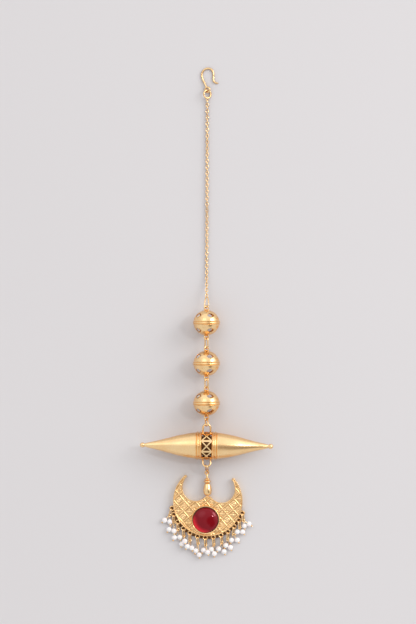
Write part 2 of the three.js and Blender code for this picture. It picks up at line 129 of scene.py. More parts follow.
class BallSettings(bpy.types.PropertyGroup):
    equator: length("Equator radius", "Radius of the shell beside the seam", 5.02)
    polar: length("Half height", "Half height of the shell along the chain", 4.87)
    wall: length("Wall", "Thickness of the shell", 0.28)
    ridge: length("Seam radius", "Radius of the two ridges of the seam", 5.35)
    band: length("Band radius", "Radius of the bulging band between the ridges", 5.24)
    windows: IntProperty(name="Windows", description="Windows round each half", default=5, min=3)
    window_width: length("Window width", "Width of a leaf window", 2.8)
    window_height: length("Window height", "Height of a leaf window", 2.1)
    eye: length("Eye radius", "Centre-line radius of the eyes at the poles", 0.84)
    eye_wire: length("Eye wire", "Diameter of the wire of those eyes", 0.56)


class SpindleSettings(bpy.types.PropertyGroup):
    half_length: length("Half length", "From the middle of the drum to the tip of a cone", 25.65)
    drum: length("Drum radius", "Outer radius of the lattice drum", 5.35)
    collar: length("Collar radius", "Outer radius of the ridged collars", 5.57)
    cells: IntProperty(name="Cells", description="Cells round the lattice drum", default=8, min=3)
    bar: length("Bar", "Width of the bars between the cells", 0.72)
    strut: length("Strut", "Width of the crossing struts in each cell", 0.46)
    wall: length("Wall", "Thickness of the lattice", 0.55)
    ring: length("Ring radius", "Centre-line radius of the hanging rings' ends", 1.48)
    ring_wire: length("Ring wire", "Diameter of the wire of the hanging rings", 0.7)


class LinkSettings(bpy.types.PropertyGroup):
    radius: length("Radius", "Centre-line radius of the ends of the small links", 0.74)
    wire: length("Wire", "Diameter of the wire of the small links", 0.56)
    hug: length("Hug", "From a link's end wire to the middle of the wire that it holds", 0.62)


class CrescentSettings(bpy.types.PropertyGroup):
    radius: length("Radius", "Radius of the crescent's round outer edge", 13.45)
    border: length("Border", "Width of the raised border", 0.45)
    border_height: length("Border height", "Height of the raised border over the table", 2.2)
    field: length("Field height", "Height of the sunk field over the table", 1.8)
    cell: length("Cell", "Distance between the ridges that cross the field", 3.0)
    ridge: length("Ridge height", "Height of the ridges over the field", 0.22)
    granule: length("Granule", "Distance between the granules in the field", 0.62)
    bezel: length("Bezel radius", "Outer radius of the stone's bezel", 5.5)
    bezel_wall: length("Bezel wall", "Thickness of the bezel", 0.35)
    bezel_height: length("Bezel height", "Height of the bezel's lip over the table", 3.1)
    stem: length("Stem wire", "Diameter of the post that the beads are threaded on", 0.8)


class StoneSettings(bpy.types.PropertyGroup):
    radius: length("Radius", "Radius of the cabochon", 4.95)
    girdle: length("Girdle height", "Height of the girdle over the stone's flat back", 0.9)
    dome: length("Dome height", "Height of the dome over the stone's flat back", 3.1)


class FringeSettings(bpy.types.PropertyGroup):
    height: length("Height", "Height of the rim loops' plane over the table", 1.1)
    reach: length("Loop reach", "From the crescent's edge to the middle of a rim loop", 0.65)
    loop: length("Loop radius", "Centre-line radius of a rim loop", 0.78)
    loop_wire: length("Loop wire", "Diameter of a rim loop's wire", 0.52)
    # The dark discs behind the rim loops are painted shade under the crescent's rim.
    scallop: length("Scallop", "Radius of the dark scallops behind the rim loops", 1.0)
    scallop_thickness: length("Scallop thickness", "Thickness of those scallops", 0.25)
    inset: length("Inset", "From a rim loop's middle to the end wire of its link", 0.3)
    link_length: length("Link length", "Distance between the end wires of a fringe link", 2.62)
    link_radius: length("Link radius", "Centre-line radius of a fringe link's ends", 0.66)
    link_wire: length("Link wire", "Diameter of a fringe link's wire", 0.52)
    eye: length("Pin eye radius", "Centre-line radius of a headpin's eye", 0.46)
    eye_wire: length("Pin eye wire", "Diameter of the wire of a headpin's eye", 0.38)
    pin: length("Pin", "Diameter of a headpin's shank", 0.3)
    pin_end: length("Pin end radius", "Radius of the ball at the end of a headpin", 0.36)
    overhang: length("Overhang", "From a pearl's middle to that of its pin's ball end", 1.22)
    pearl: length("Pearl radius", "Radius of a pearl", 1.04)


class FinishSettings(bpy.types.PropertyGroup):
    gold: colour("Gold", "Reflection of the polished gold", (1.0, 0.72, 0.38))
    # Deep gold serves for the gold's random tone and also for painted shade on steep and downward
    # faces.
    deep_gold: colour("Deep gold", "Reflection of worn or toned gold", (0.87, 0.43, 0.13))
    # This dark colour is patina in the pits and the low field, and painted shade on steep wire
    # sides, beside the relief's ridges and on the dark pieces that stand in for shade.
    recess: colour("Recess", "Oxidised metal in hollows", (0.1, 0.035, 0.012))
    ruby: colour("Ruby", "Body colour of the cabochon", (0.21, 0.001, 0.006))
    ruby_glow: colour("Ruby glow", "Where light gathers at the stone's edge", (0.95, 0.012, 0.03))
    pearl: colour("Pearl", "Body colour of the pearls", (1.0, 0.97, 0.96))
    pearl_blush: colour("Pearl blush", "Faint pink in the pearls", (0.9, 0.74, 0.7))
    polish: share("Polish", "Roughness of the polished gold", 0.17)
    satin: share("Satin", "Roughness of the satin cones", 0.27)


class StageSettings(bpy.types.PropertyGroup):
    table: colour("Table", "Colour of the table", (0.705, 0.69, 0.698))
    sky: FloatProperty(name="Sky", description="Strength of the world's light", default=0.9, min=0)
    key: FloatProperty(name="Key", description="Its power", default=3.3, min=0, unit="POWER")
    lens: FloatProperty(name="Lens", description="Focal length, mm", default=150.0, min=1)
    distance: length("Camera height", "Height of the camera over the table", 1006)
    aim: FloatVectorProperty(
        name="Aim",
        description="Point of the table under the camera",
        default=(0.37 * MM, 0.31 * MM),
        size=2,
        subtype="XYZ_LENGTH",
    )


class TikkaSettings(bpy.types.PropertyGroup):
    hook: PointerProperty(name="Hook", type=HookSettings)
    chain: PointerProperty(name="Chain", type=ChainSettings)
    ball: PointerProperty(name="Balls", type=BallSettings)
    spindle: PointerProperty(name="Spindle", type=SpindleSettings)
    link: PointerProperty(name="Links", type=LinkSettings)
    crescent: PointerProperty(name="Crescent", type=CrescentSettings)
    stone: PointerProperty(name="Stone", type=StoneSettings)
    fringe: PointerProperty(name="Fringe", type=FringeSettings)
    finish: PointerProperty(name="Finishes", type=FinishSettings)
    stage: PointerProperty(name="Stage", type=StageSettings)


# ---- places and small sizes --------------------------------------------------

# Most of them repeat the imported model's. Lengths are in metres and angles in degrees.

HOOK_EYE = {"centre": mm(0.15, 86.2, 1.05), "roll": -28}
HOOK_ROUTE = [  # from the turned-out tip over the crook to the eye
    mm(4.22, 88.78, 0.36),
    mm(3.25, 88.98, 0.36),
    mm(2.5, 89.8, 0.36),
    mm(2.45, 92.6, 0.36),
    mm(1.7, 94.1, 0.36),
    mm(0.3, 94.52, 0.36),
    mm(-1.15, 93.9, 0.36),
    mm(-2.0, 92.3, 0.36),
    mm(-1.75, 90.5, 0.38),
    mm(-1.0, 88.9, 0.55),
    mm(-0.2, 87.05, 0.9),
]
HOOK_RING = {"centre": mm(0.1, 84.5, 1.05), "roll": 30}
CHAIN_ROUTE = [  # from inside the hook ring, along the table, then up to the first ball's ring
    mm(0.08, 82.66, 0.98),
    mm(0.07, 80.6, 0.72),
    mm(0.05, 70, 0.67),
    mm(0, 52, 0.67),
    mm(-0.06, 34, 0.67),
    mm(-0.13, 19, 0.67),
    mm(-0.15, 14.5, 0.75),
    mm(-0.17, 11, 1.45),
    mm(-0.18, 8.8, 2.35),
    mm(-0.18, 6.62, 3.42),
]
CHAIN_END = {"point": mm(-0.15, 6.2, 3.75), "roll": -47, "narrow": 0.45}
CHAIN_SLACK = 0.9999  # share of the full pitch, so that rounding never loses the last link
CHAIN_ROLL = 6
CHAIN_TWIST = 7
BALL_TURNS = {"ball_1": 1, "ball_2": -2, "ball_3": 0}
BALL_EYE = {"reach": 5.61 * MM, "roll": 20}
BALL_SEAM = {"ridge_at": 0.53 * MM, "ridge_half": 0.15 * MM, "band_half": 0.42 * MM}
WINDOW = {"latitude": 35, "azimuth": 23, "wide": 0.66, "high": 0.64}
PETAL = {"latitude": 18, "apart": 4.5, "depth": 0.16 * MM, "half": (0.26 * MM, 0.75 * MM)}
SPINDLE_CENTRE = mm(-0.2, -51.13, 5.57)
SPINDLE_LEAN = -0.67
SPINDLE_TIP = 0.98 * MM
DRUM_WIDTH = 3.96 * MM
DRUM_CORE = {"radius": 3.7 * MM, "half": 2.4 * MM}
DRUM_DISC = {"radius": 4.9 * MM, "near": 2.3 * MM, "far": 2.6 * MM}
UPPER_RING = mm(-0.05, -42.85, 6.52)
LOWER_RING = mm(-0.1, -59.1, 6.67)
UPPER_IN_DRUM = mm(-0.2, -46.95, 5.6)
LOWER_IN_DRUM = mm(-0.2, -55.31, 5.6)
LINK_ROLLS = {"ball_link_1": 136, "ball_link_2": 142, "spindle_link": 128, "pendant_link": 126}
CRESCENT_CENTRE = mm(0.3, -72.85, 0)
CRESCENT_LEAN = -3.9
LOBE = {"offset": 5.06 * MM, "rise": 4.86 * MM, "radius": 5.02 * MM}
HORN = {"radius": 7.5 * MM, "tip": 0.5 * MM, "angle": 44.3}
HORN_BALL = {"radius": 0.6 * MM, "height": 1.5 * MM}
PEAK = 1.95 * MM
FIELD = {"grid": 0.13 * MM, "depth": 0.35 * MM, "under_border": 0.72}
BEZEL = mm(-0.35, -7.1, 0)
STEM_FOOT = mm(0.3, -71.9, 1.68)
STEM_TOP = mm(-0.05, -61.75, 1.68)
STEM_EYE = {"radius": 0.7 * MM, "wire": 0.5 * MM, "overlap": 0.1 * MM}
PEAR_BEAD = {"start": 1.35 * MM, "length": 4.9 * MM, "radius": 1.62 * MM}
COLLAR_BEAD = {"start": 6.3 * MM, "length": 1.9 * MM, "radius": 1.36 * MM}
PIN_SPREAD = 0.2 * MM
PEARL_HEIGHT = 1.04 * MM
PEARL_SQUASH = 0.97
LINK_END = -0.03 * MM
FRINGE_LINK_ROLL = 58
PAINTED_SHADE_DISC_HEIGHT = 0.3 * MM

# One row for each rim loop, left to right: its angle round the rim from the bottom, the way its
# link lies, and for each of its two drops the way it lies, how far its pearl hangs and how high
# it is lifted.
STATIONS = [
    (-75, -18, (-47, 2.7, 0), (2, 2.4, 0)),
    (-65, 0, (-32, 3.45, 0), (2, 3.45, 0.6)),
    (-51.5, 2, (-24, 3.4, 0), (13, 3.05, 0)),
    (-38, 3, (-14, 3.15, 0), (12, 1.95, 1.25)),
    (-25.5, 0, (-26, 2.4, 0.8), (14, 2.9, 0)),
    (-12.5, 4, (-17, 2.85, 0), (6, 4.3, 0)),
    (0, 2, (-24, 2.1, 0), (17, 2.75, 1.1)),
    (12.5, 5, (-32, 2, 0), (2, 3.4, 0)),
    (25, 6, (-27, 2.65, 0), (15, 3.5, 0)),
    (37.5, -2, (-18, 2.5, 0), (18, 3.35, 0)),
    (50, -7, (-16, 2.45, 0), (33, 2.8, 0)),
    (62.5, 6, (-32, 1.85, 0.2), (34, 1.9, 0)),
    (75, 8, (9, 2.15, 0), (57, 2.6, 0)),
]


# ---- plain shapes ------------------------------------------------------------


class Shape:
    """Points and faces of a closed mesh that isn't an object yet."""

    def __init__(self, points=(), faces=()):
        self.points = [Vector(p) for p in points]
        self.faces = [tuple(f) for f in faces]

    def add(self, other):
        start = len(self.points)
        self.points += other.points
        self.faces += [tuple(i + start for i in face) for face in other.faces]
        return self

    def moved(self, matrix):
        return Shape([matrix @ p for p in self.points], self.faces)

    def mesh(self, name):
        mesh = bpy.data.meshes.new(name)
        mesh.from_pydata(self.points, [], self.faces)
        mesh.validate()
        mesh.update()
        return mesh


def joined(shapes):
    total = Shape()
    for shape in shapes:
        total.add(shape)
    return total


def bridge(rings, sides, closed=False):
    """Faces between rings of points in a row; the ends stay open unless it is closed."""
    faces = []
    for i in range(rings if closed else rings - 1):
        here, there = i * sides, (i + 1) % rings * sides
        for j in range(sides):
            k = (j + 1) % sides
            faces.append((here + j, here + k, there + k, there + j))
    return faces


def wire(path, diameter, sides=14, closed=False, ends=(1.0, 1.0)):
    """A round wire along a path; an open one has rounded ends, thinned by the ends' shares."""
    radius = diameter / 2
    path = [Vector(p) for p in path]
    radii = [radius] * len(path)
    if not closed:
        path, radii = rounded_ends(path, radius, ends)
    count = len(path)
    points = []
    for i, (point, r) in enumerate(zip(path, radii)):
        before = path[i - 1] if closed or i else path[0]
        after = path[(i + 1) % count] if closed or i < count - 1 else path[-1]
        side = (after - before).cross(Z_AXIS).normalized()
        top = side.cross(after - before).normalized()
        for j in range(sides):
            angle = 2 * math.pi * j / sides
            points.append(point + (side * math.cos(angle) + top * math.sin(angle)) * r)
    faces = bridge(count, sides, closed)
    if not closed:
        faces.append(tuple(reversed(range(sides))))
        faces.append(tuple(range((count - 1) * sides, count * sides)))
    return Shape(points, faces)


def rounded_ends(path, radius, ends):
    """Extra points and radii that round off both ends of a wire."""
    radii = [radius] * len(path)
    taper = min(4, len(path) // 2)
    for i in range(taper):
        radii[i] *= 1 + (ends[0] - 1) * (1 - i / taper)
        radii[-1 - i] *= 1 + (ends[1] - 1) * (1 - i / taper)
    start, finish = (path[0] - path[1]).normalized(), (path[-1] - path[-2]).normalized()
    steps = [math.radians(a) for a in (30, 60, 82)]
    first, last = radii[0], radii[-1]
    head = [(path[0] + start * first * math.sin(a), first * math.cos(a)) for a in reversed(steps)]
    tail = [(path[-1] + finish * last * math.sin(a), last * math.cos(a)) for a in steps]
    places = [p for p, _ in head] + path + [p for p, _ in tail]
    return places, [r for _, r in head] + radii + [r for _, r in tail]


def curve_through(points, step):
    """Points of a smooth curve through given ones, a step apart."""
    spots = [points[0] * 2 - points[1], *points, points[-1] * 2 - points[-2]]
    line = []
    for a, b, c, d in zip(spots, spots[1:], spots[2:], spots[3:]):
        knots = [0.0]
        for p, q in ((a, b), (b, c), (c, d)):
            knots.append(knots[-1] + math.sqrt((q - p).length))
        count = max(1, round((c - b).length / step))
        for i in range(count):
            t = knots[1] + (knots[2] - knots[1]) * i / count
            line.append(spline_point((a, b, c, d), knots, t))
    return [*line, points[-1]]


def spline_point(points, knots, t):
    """A point of the centripetal spline through four points, between the second and the third."""
    level = list(points)
    for width in (1, 2, 3):
        level = [
            level[i].lerp(level[i + 1], (t - knots[max(i, 0) + offset]) / span)
            for i, offset, span in spline_spans(knots, width)
        ]
    return level[0]


def spline_spans(knots, width):
    """Index, first knot and knot span of each blend at one level of the centripetal spline."""
    if width < 3:
        return [(i, 0, knots[i + width] - knots[i]) for i in range(4 - width)]
    return [(0, 1, knots[2] - knots[1])]


def ring_path(radius, stretch=0.0, narrow=1.0, count=36):
    """Centre line of a ring in the XY plane, pulled out along Y; its upper end may be narrower."""
    path = []
    for i in range(count):
        angle = 2 * math.pi * (i + 0.5) / count
        x, y = radius * math.cos(angle), radius * math.sin(angle)
        y += math.copysign(stretch / 2, y)
        rise = (y / (radius + stretch / 2) + 1) / 2
        path.append(Vector((x * (1 + (narrow - 1) * rise * rise), y, 0)))
    return path


def turned(profile, segments):
    """A closed solid turned about the Y axis from (radius, height) pairs that run upwards and start
    and end on the axis, or from a closed section when neither end is on the axis."""
    points, rows, faces = [], [], []
    for radius, height in profile:
        if radius < 1e-9:
            rows.append([len(points)])
            points.append((0, height, 0))
            continue
        rows.append(list(range(len(points), len(points) + segments)))
        for j in range(segments):
            angle = 2 * math.pi * j / segments
            points.append((radius * math.sin(angle), height, radius * math.cos(angle)))
    hollow = profile[0][0] > 1e-9 and profile[-1][0] > 1e-9
    pairs = list(zip(rows, rows[1:])) + ([(rows[-1], rows[0])] if hollow else [])
    for low, high in pairs:
        for j in range(segments):
            k = (j + 1) % segments
            face = [low[j % len(low)], low[k % len(low)], high[k % len(high)], high[j % len(high)]]
            faces.append(tuple(dict.fromkeys(face)))
    return Shape(points, faces)


def sphere(radius, steps, segments):
    """A ball about its own middle."""
    angles = [math.pi * (i / steps - 0.5) for i in range(1, steps)]
    rows = [(radius * math.cos(a), radius * math.sin(a)) for a in angles]
    return turned([(0, -radius), *rows, (0, radius)], segments)


def cylinder(radius, low, high, segments=48):
    """A plain cylinder about the Y axis between two heights."""
    return turned([(0, low), (radius, low), (radius, high), (0, high)], segments)


def spin_y(degrees):
    """A turn about +Y."""
    return Matrix.Rotation(math.radians(degrees), 4, "Y")


def spin_z(degrees):
    """A turn about +Z."""
    return Matrix.Rotation(math.radians(degrees), 4, "Z")


def rolled_ring(radius, diameter, place):
    """A round ring at its place, its plane rolled about +Y."""
    ring = wire(ring_path(radius), diameter, closed=True)
    return ring.moved(Matrix.Translation(place["centre"]) @ spin_y(place["roll"]))


def along(start, end, roll=0.0):
    """The turn that takes +Y to the direction from one point to another, after a roll about +Y."""
    swing = Y_AXIS.rotation_difference((end - start).normalized())
    return (swing @ Quaternion(Y_AXIS, math.radians(roll))).to_matrix().to_4x4()


def link_between(start, end, radius, diameter, roll, narrow=1.0):
    """A long link whose end wires have their centre lines at the two points."""
    path = ring_path(radius, (end - start).length - 2 * radius, narrow)
    place = Matrix.Translation((start + end) / 2) @ along(start, end, roll)
    return wire(path, diameter, closed=True).moved(place)


def smoothed(rows, count):
    """Points of a smooth curve through (radius, height) rows, for a turned profile."""
    spots = [Vector((r, h, 0)) for r, h in rows]
    step = sum((b - a).length for a, b in zip(spots, spots[1:])) / count
    line = curve_through(spots, step)
    return [(max(p.x, 0), p.y) for p in line]


# ---- objects -----------------------------------------------------------------


def finished(name, source, material, replaces=(), sharp=40):
    """The piece itself: an object at the origin that rides on the jewel's one body."""
    mesh = source if isinstance(source, bpy.types.Mesh) else source.mesh(name)
    mesh.name = name
    mesh.materials.clear()
    mesh.materials.append(material)
    mesh.shade_smooth()
    mesh.set_sharp_from_angle(angle=math.radians(sharp))
    piece = bpy.data.objects.new(name, mesh)
    bpy.context.scene.collection.objects.link(piece)
    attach(piece, BODY)
    if replaces:
        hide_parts(*replaces)
    return piece


def helper_object(name, mesh):
    """An object that is only used while another piece is made."""
    helper = bpy.data.objects.new(name, mesh)
    bpy.context.scene.collection.objects.link(helper)
    return helper


def evaluated_mesh(helper):
    """The mesh of an object with its modifiers, which are removed together with the object."""
    graph = bpy.context.evaluated_depsgraph_get()
    mesh = bpy.data.meshes.new_from_object(helper.evaluated_get(graph), depsgraph=graph)
    helper.modifiers.clear()
    bpy.data.objects.remove(helper)
    if not mesh.polygons:
        raise RuntimeError("a modifier gave an empty mesh")
    return mesh


def carved(shape, cutters):
    """A closed shape with others cut out of it."""
    body = helper_object("body", shape.mesh("body"))
    punch = helper_object("punch", cutters.mesh("punch"))
    cut = body.modifiers.new("cut", "BOOLEAN")
    cut.operation = "DIFFERENCE"
    cut.solver = "EXACT"
    cut.object = punch
    mesh = evaluated_mesh(body)
    bpy.data.objects.remove(punch)
    return mesh


# ---- node trees --------------------------------------------------------------


class Value:
    """One output of a node; arithmetic on it adds Math nodes."""

    def __init__(self, graph, socket):
        self.graph = graph
        self.socket = socket

    def __add__(self, other):
        return self.graph.maths("ADD", self, other)

    def __sub__(self, other):
        return self.graph.maths("SUBTRACT", self, other)

    def __rsub__(self, other):
        return self.graph.maths("SUBTRACT", other, self)

    def __mul__(self, other):
        return self.graph.maths("MULTIPLY", self, other)

    def __truediv__(self, other):
        return self.graph.maths("DIVIDE", self, other)

    def __rtruediv__(self, other):
        return self.graph.maths("DIVIDE", other, self)

    def __pow__(self, other):
        return self.graph.maths("POWER", self, other)

    __radd__ = __add__
    __rmul__ = __mul__


class Graph:
    """A node tree that is being built."""

    def __init__(self, tree):
        self.tree = tree

    def node(self, kind, inputs=None, output=0, **settings):
        """Adds a node with its settings, then its sockets' values or links."""
        node = self.tree.nodes.new(kind)
        for name, value in settings.items():
            setattr(node, name, value)
        for key, value in (inputs or {}).items():
            if isinstance(value, Value):
                self.tree.links.new(value.socket, node.inputs[key])
            else:
                node.inputs[key].default_value = value
        return Value(self, node.outputs[output])

    def maths(self, operation, *values, clamp=False):
        inputs = dict(enumerate(values))
        return self.node("ShaderNodeMath", inputs, operation=operation, use_clamp=clamp)

    def larger(self, first, second):
        return self.maths("MAXIMUM", first, second)

    def dot(self, vector, axis):
        """How far a vector reaches along an axis."""
        inputs = {0: vector, 1: axis}
        return self.node("ShaderNodeVectorMath", inputs, "Value", operation="DOT_PRODUCT")

    def ramp(self, value, low, high):
        """0 below low and 1 above high, or the other way round when low is the larger."""
        return self.maths("MULTIPLY", value - low, 1 / (high - low), clamp=True)

    def mix(self, factor, first, second):
        """One colour mixed into another."""
        first, second = (c if isinstance(c, Value) else (*c, 1) for c in (first, second))
        return self.node("ShaderNodeMix", {0: factor, 6: first, 7: second}, 2, data_type="RGBA")

    def noise(self, place, size, detail):
        """Soft noise whose lumps are about as wide as the size."""
        inputs = {"Vector": place, "Scale": 1 / size, "Detail": detail}
        return self.node("ShaderNodeTexNoise", inputs)

    def cells(self, place, size):
        """Distance from the middles of random cells, as a share of the cells' size."""
        return self.node("ShaderNodeTexVoronoi", {"Vector": place, "Scale": 1 / size})


# ---- materials ---------------------------------------------------------------


def new_material(name, constants, paint):
    """A material with constants on its shader and painted channels linked to it."""
    material = bpy.data.materials.new(name)
    material.use_nodes = True
    tree = material.node_tree
    shader = tree.nodes["Principled BSDF"]
    for socket, value in constants.items():
        shader.inputs[socket].default_value = value
    graph = Graph(tree)
    place = graph.node("ShaderNodeTexCoord", output="Object")
    for socket, value in paint(graph, place).items():
        tree.links.new(value.socket, shader.inputs[socket])
    return material


def steepness(graph):
    """Mask of the painted shade on the gold: 0 where the surface faces up from the table and 1
    where it is steep or faces down.
    """
    normal = graph.node("ShaderNodeNewGeometry", output="Normal")
    return graph.ramp(graph.dot(normal, Z_AXIS), 0.8, 0.15)


def bump(graph, height, depth):
    """A surface normal bent by a height from 0 to 1 that stands for the given depth."""
    return graph.node("ShaderNodeBump", {"Strength": 1.0, "Distance": depth, "Height": height})


def made_once(builder):
    """The named material, built the first time that it is asked for."""

    def find(settings):
        name = builder.__name__
        return bpy.data.materials.get(name) or builder(name, settings)

    return find


SOLID_GOLD = {"Metallic": 1.0, "IOR": 1.5}


def gold_toned(graph, amount, settings):
    """Polished gold deepened by an amount from 0 to 1, which carries random tone and painted shade.
    """
    return graph.mix(amount, settings.gold, settings.deep_gold)


@made_once
def polished_gold(name, settings):
    """Gilt castings: softly uneven, with a little random tone, fine wear and painted shade in
    deeper gold on their steep and downward faces.
    """

    def paint(graph, place):
        tone = graph.ramp(graph.noise(place, 3.2 * MM, 3.0), 0.42, 0.78)
        wear = graph.noise(place, 0.35 * MM, 3.0)
        swell = graph.noise(place, 1.6 * MM, 1.0)
        # Painted shade: steep and downward faces are mixed towards the deep gold, along with the
        # random tone.
        toned_and_shaded = graph.larger(tone * 0.4, steepness(graph) * 0.6)
        return {
            "Base Color": gold_toned(graph, toned_and_shaded, settings),
            "Roughness": wear * 0.16 + (settings.polish - 0.06),
            "Normal": bump(graph, swell * 0.8 + wear * 0.2, 0.05 * MM),
        }

    return new_material(name, SOLID_GOLD, paint)


@made_once
def satin_gold(name, settings):
    """Hand-finished sheet gold of the cones: brushed softly, with scattered tiny dark pits and
    painted shade in deeper gold on their steep and downward faces.
    """

    def paint(graph, place):
        tone = graph.ramp(graph.noise(place, 4.5 * MM, 3.0), 0.4, 0.8)
        grain = graph.noise(place, 0.22 * MM, 3.0)
        pits = graph.ramp(graph.cells(place, 1.5 * MM), 0.085, 0.03)
        patches = graph.ramp(graph.noise(place, 5 * MM, 1.0), 0.5, 0.62)
        pitted = pits * patches
        # Painted shade: steep and downward faces are mixed towards the deep gold, along with the
        # random tone.
        toned_and_shaded = graph.larger(tone * 0.3, steepness(graph) * 0.6)
        gold = gold_toned(graph, toned_and_shaded, settings)
        return {
            "Base Color": graph.mix(pitted * 0.75, gold, settings.recess),
            "Roughness": grain * 0.14 + (settings.satin - 0.07) + pitted * 0.2,
            "Normal": bump(graph, grain * 0.25 - pitted, 0.05 * MM),
        }

    return new_material(name, SOLID_GOLD, paint)


@made_once
def chased_gold(name, settings):
    """The crescent's relief: darker with patina in its low field and with painted shade in a band
    beside each ridge, both marked by the stored attribute.
    """

    def paint(graph, place):
        recess = graph.node("ShaderNodeAttribute", output="Fac", attribute_name="recess")
        tone = graph.ramp(graph.noise(place, 4 * MM, 3.0), 0.35, 0.75)
        grain = graph.noise(place, 0.25 * MM, 3.0)
        # The stored mask carries patina in the low field and painted shade beside the ridges.
        toned_and_shaded = graph.larger(tone * 0.45, recess)
        gold = gold_toned(graph, toned_and_shaded, settings)
        return {
            "Base Color": graph.mix(recess * recess * (0.3 + tone * 0.5), gold, settings.recess),
            "Roughness": grain * 0.2 + 0.16 + recess * 0.15,
            "Normal": bump(graph, grain, 0.03 * MM),
        }

    return new_material(name, SOLID_GOLD, paint)


@made_once
def wire_gold(name, settings):
    """Small rings and links: tinted in random patches, with painted shade that leaves them bright
    on top and darker down their sides.
    """

    def paint(graph, place):
        tone = graph.ramp(graph.noise(place, 1.1 * MM, 2.0), 0.4, 0.7)
        grain = graph.noise(place, 0.15 * MM, 2.0)
        # Painted shade: steep sides and undersides go towards the deep gold and the dark colour,
        # which leaves the tops bright.
        steep = steepness(graph)
        toned_and_shaded = graph.larger(tone * 0.4, steep)
        gold = gold_toned(graph, toned_and_shaded, settings)
        return {
            "Base Color": graph.mix(steep * steep * 0.5, gold, settings.recess),
            "Roughness": grain * 0.14 + 0.14,
            "Normal": bump(graph, grain, 0.015 * MM),
        }

    return new_material(name, SOLID_GOLD, paint)


@made_once
def oxidised_gold(name, settings):
    """Dark unpolished metal for pieces that stand in for shade: painted shade inside the drum and
    behind the rim loops.
    """

    def paint(graph, place):
        crust = graph.noise(place, 0.5 * MM, 4.0)
        return {
            "Base Color": graph.mix(crust * 0.25, settings.recess, settings.deep_gold),
            "Roughness": crust * 0.3 + 0.35,
            "Normal": bump(graph, crust, 0.08 * MM),
        }

    return new_material(name, {"Metallic": 0.8, "IOR": 1.5}, paint)


@made_once
def ruby_glass(name, settings):
    """Deep red cabochon with painted light: painted shade dark at its rim and a painted glow,
    brightest where light gathers at one side of it.
    """
    stone = middle("ruby")
    shade, rim_shade = ([c * dim for c in settings.ruby] for dim in (0.6, 0.12))

    def paint(graph, place):
        offset = graph.node("ShaderNodeVectorMath", {0: place, 1: stone}, operation="SUBTRACT")
        side = graph.dot(offset, Vector((-0.72, -0.69, 0)))
        flat = graph.node("ShaderNodeVectorMath", {0: offset, 1: (1, 1, 0)}, operation="MULTIPLY")
        radius = graph.node("ShaderNodeVectorMath", {0: flat}, "Value", operation="LENGTH")
        # Painted light: a glow at one edge and painted shade at the rim; the cloud is the stone's
        # own.
        edge = graph.ramp(radius, 3.0 * MM, 4.5 * MM)
        glow = graph.ramp(side, 1.6 * MM, 4.4 * MM) * edge
        cloud = graph.noise(place, 2.2 * MM, 2.0)
        body = graph.mix(cloud * 0.3, settings.ruby, shade)
        rim = graph.ramp(radius, 4.45 * MM, 4.9 * MM)
        body = graph.mix(rim * 0.8, body, rim_shade)
        return {
            "Base Color": graph.mix(glow, body, settings.ruby_glow),
            "Roughness": cloud * 0.04 + 0.03,
        }

    tint = (1.0, 0.4, 0.45, 1.0)
    constants = {"IOR": 1.6, "Specular IOR Level": 0.5, "Specular Tint": tint}
    return new_material(name, constants, paint)


@made_once
def pearl_lustre(name, settings):
    """Small pearls: white, with faint pink clouds and a soft skin."""

    def paint(graph, place):
        blush = graph.ramp(graph.noise(place, 1.7 * MM, 2.0), 0.45, 0.75)
        skin = graph.noise(place, 0.3 * MM, 3.0)
        return {
            "Base Color": graph.mix(blush * 0.6, settings.pearl, settings.pearl_blush),
            "Roughness": skin * 0.12 + 0.2,
            "Normal": bump(graph, skin, 0.02 * MM),
        }

    constants = {
        "IOR": 1.53,
        "Coat Weight": 0.5,
        "Coat Roughness": 0.12,
        "Subsurface Weight": 0.25,
        "Subsurface Radius": (0.5 * MM, 0.35 * MM, 0.3 * MM),
        "Subsurface Scale": 1.0,
    }
    return new_material(name, constants, paint)


# ---- geometry nodes ----------------------------------------------------------

SOCKETS = {
    "number": "NodeSocketFloat",
    "object": "NodeSocketObject",
    "material": "NodeSocketMaterial",
}


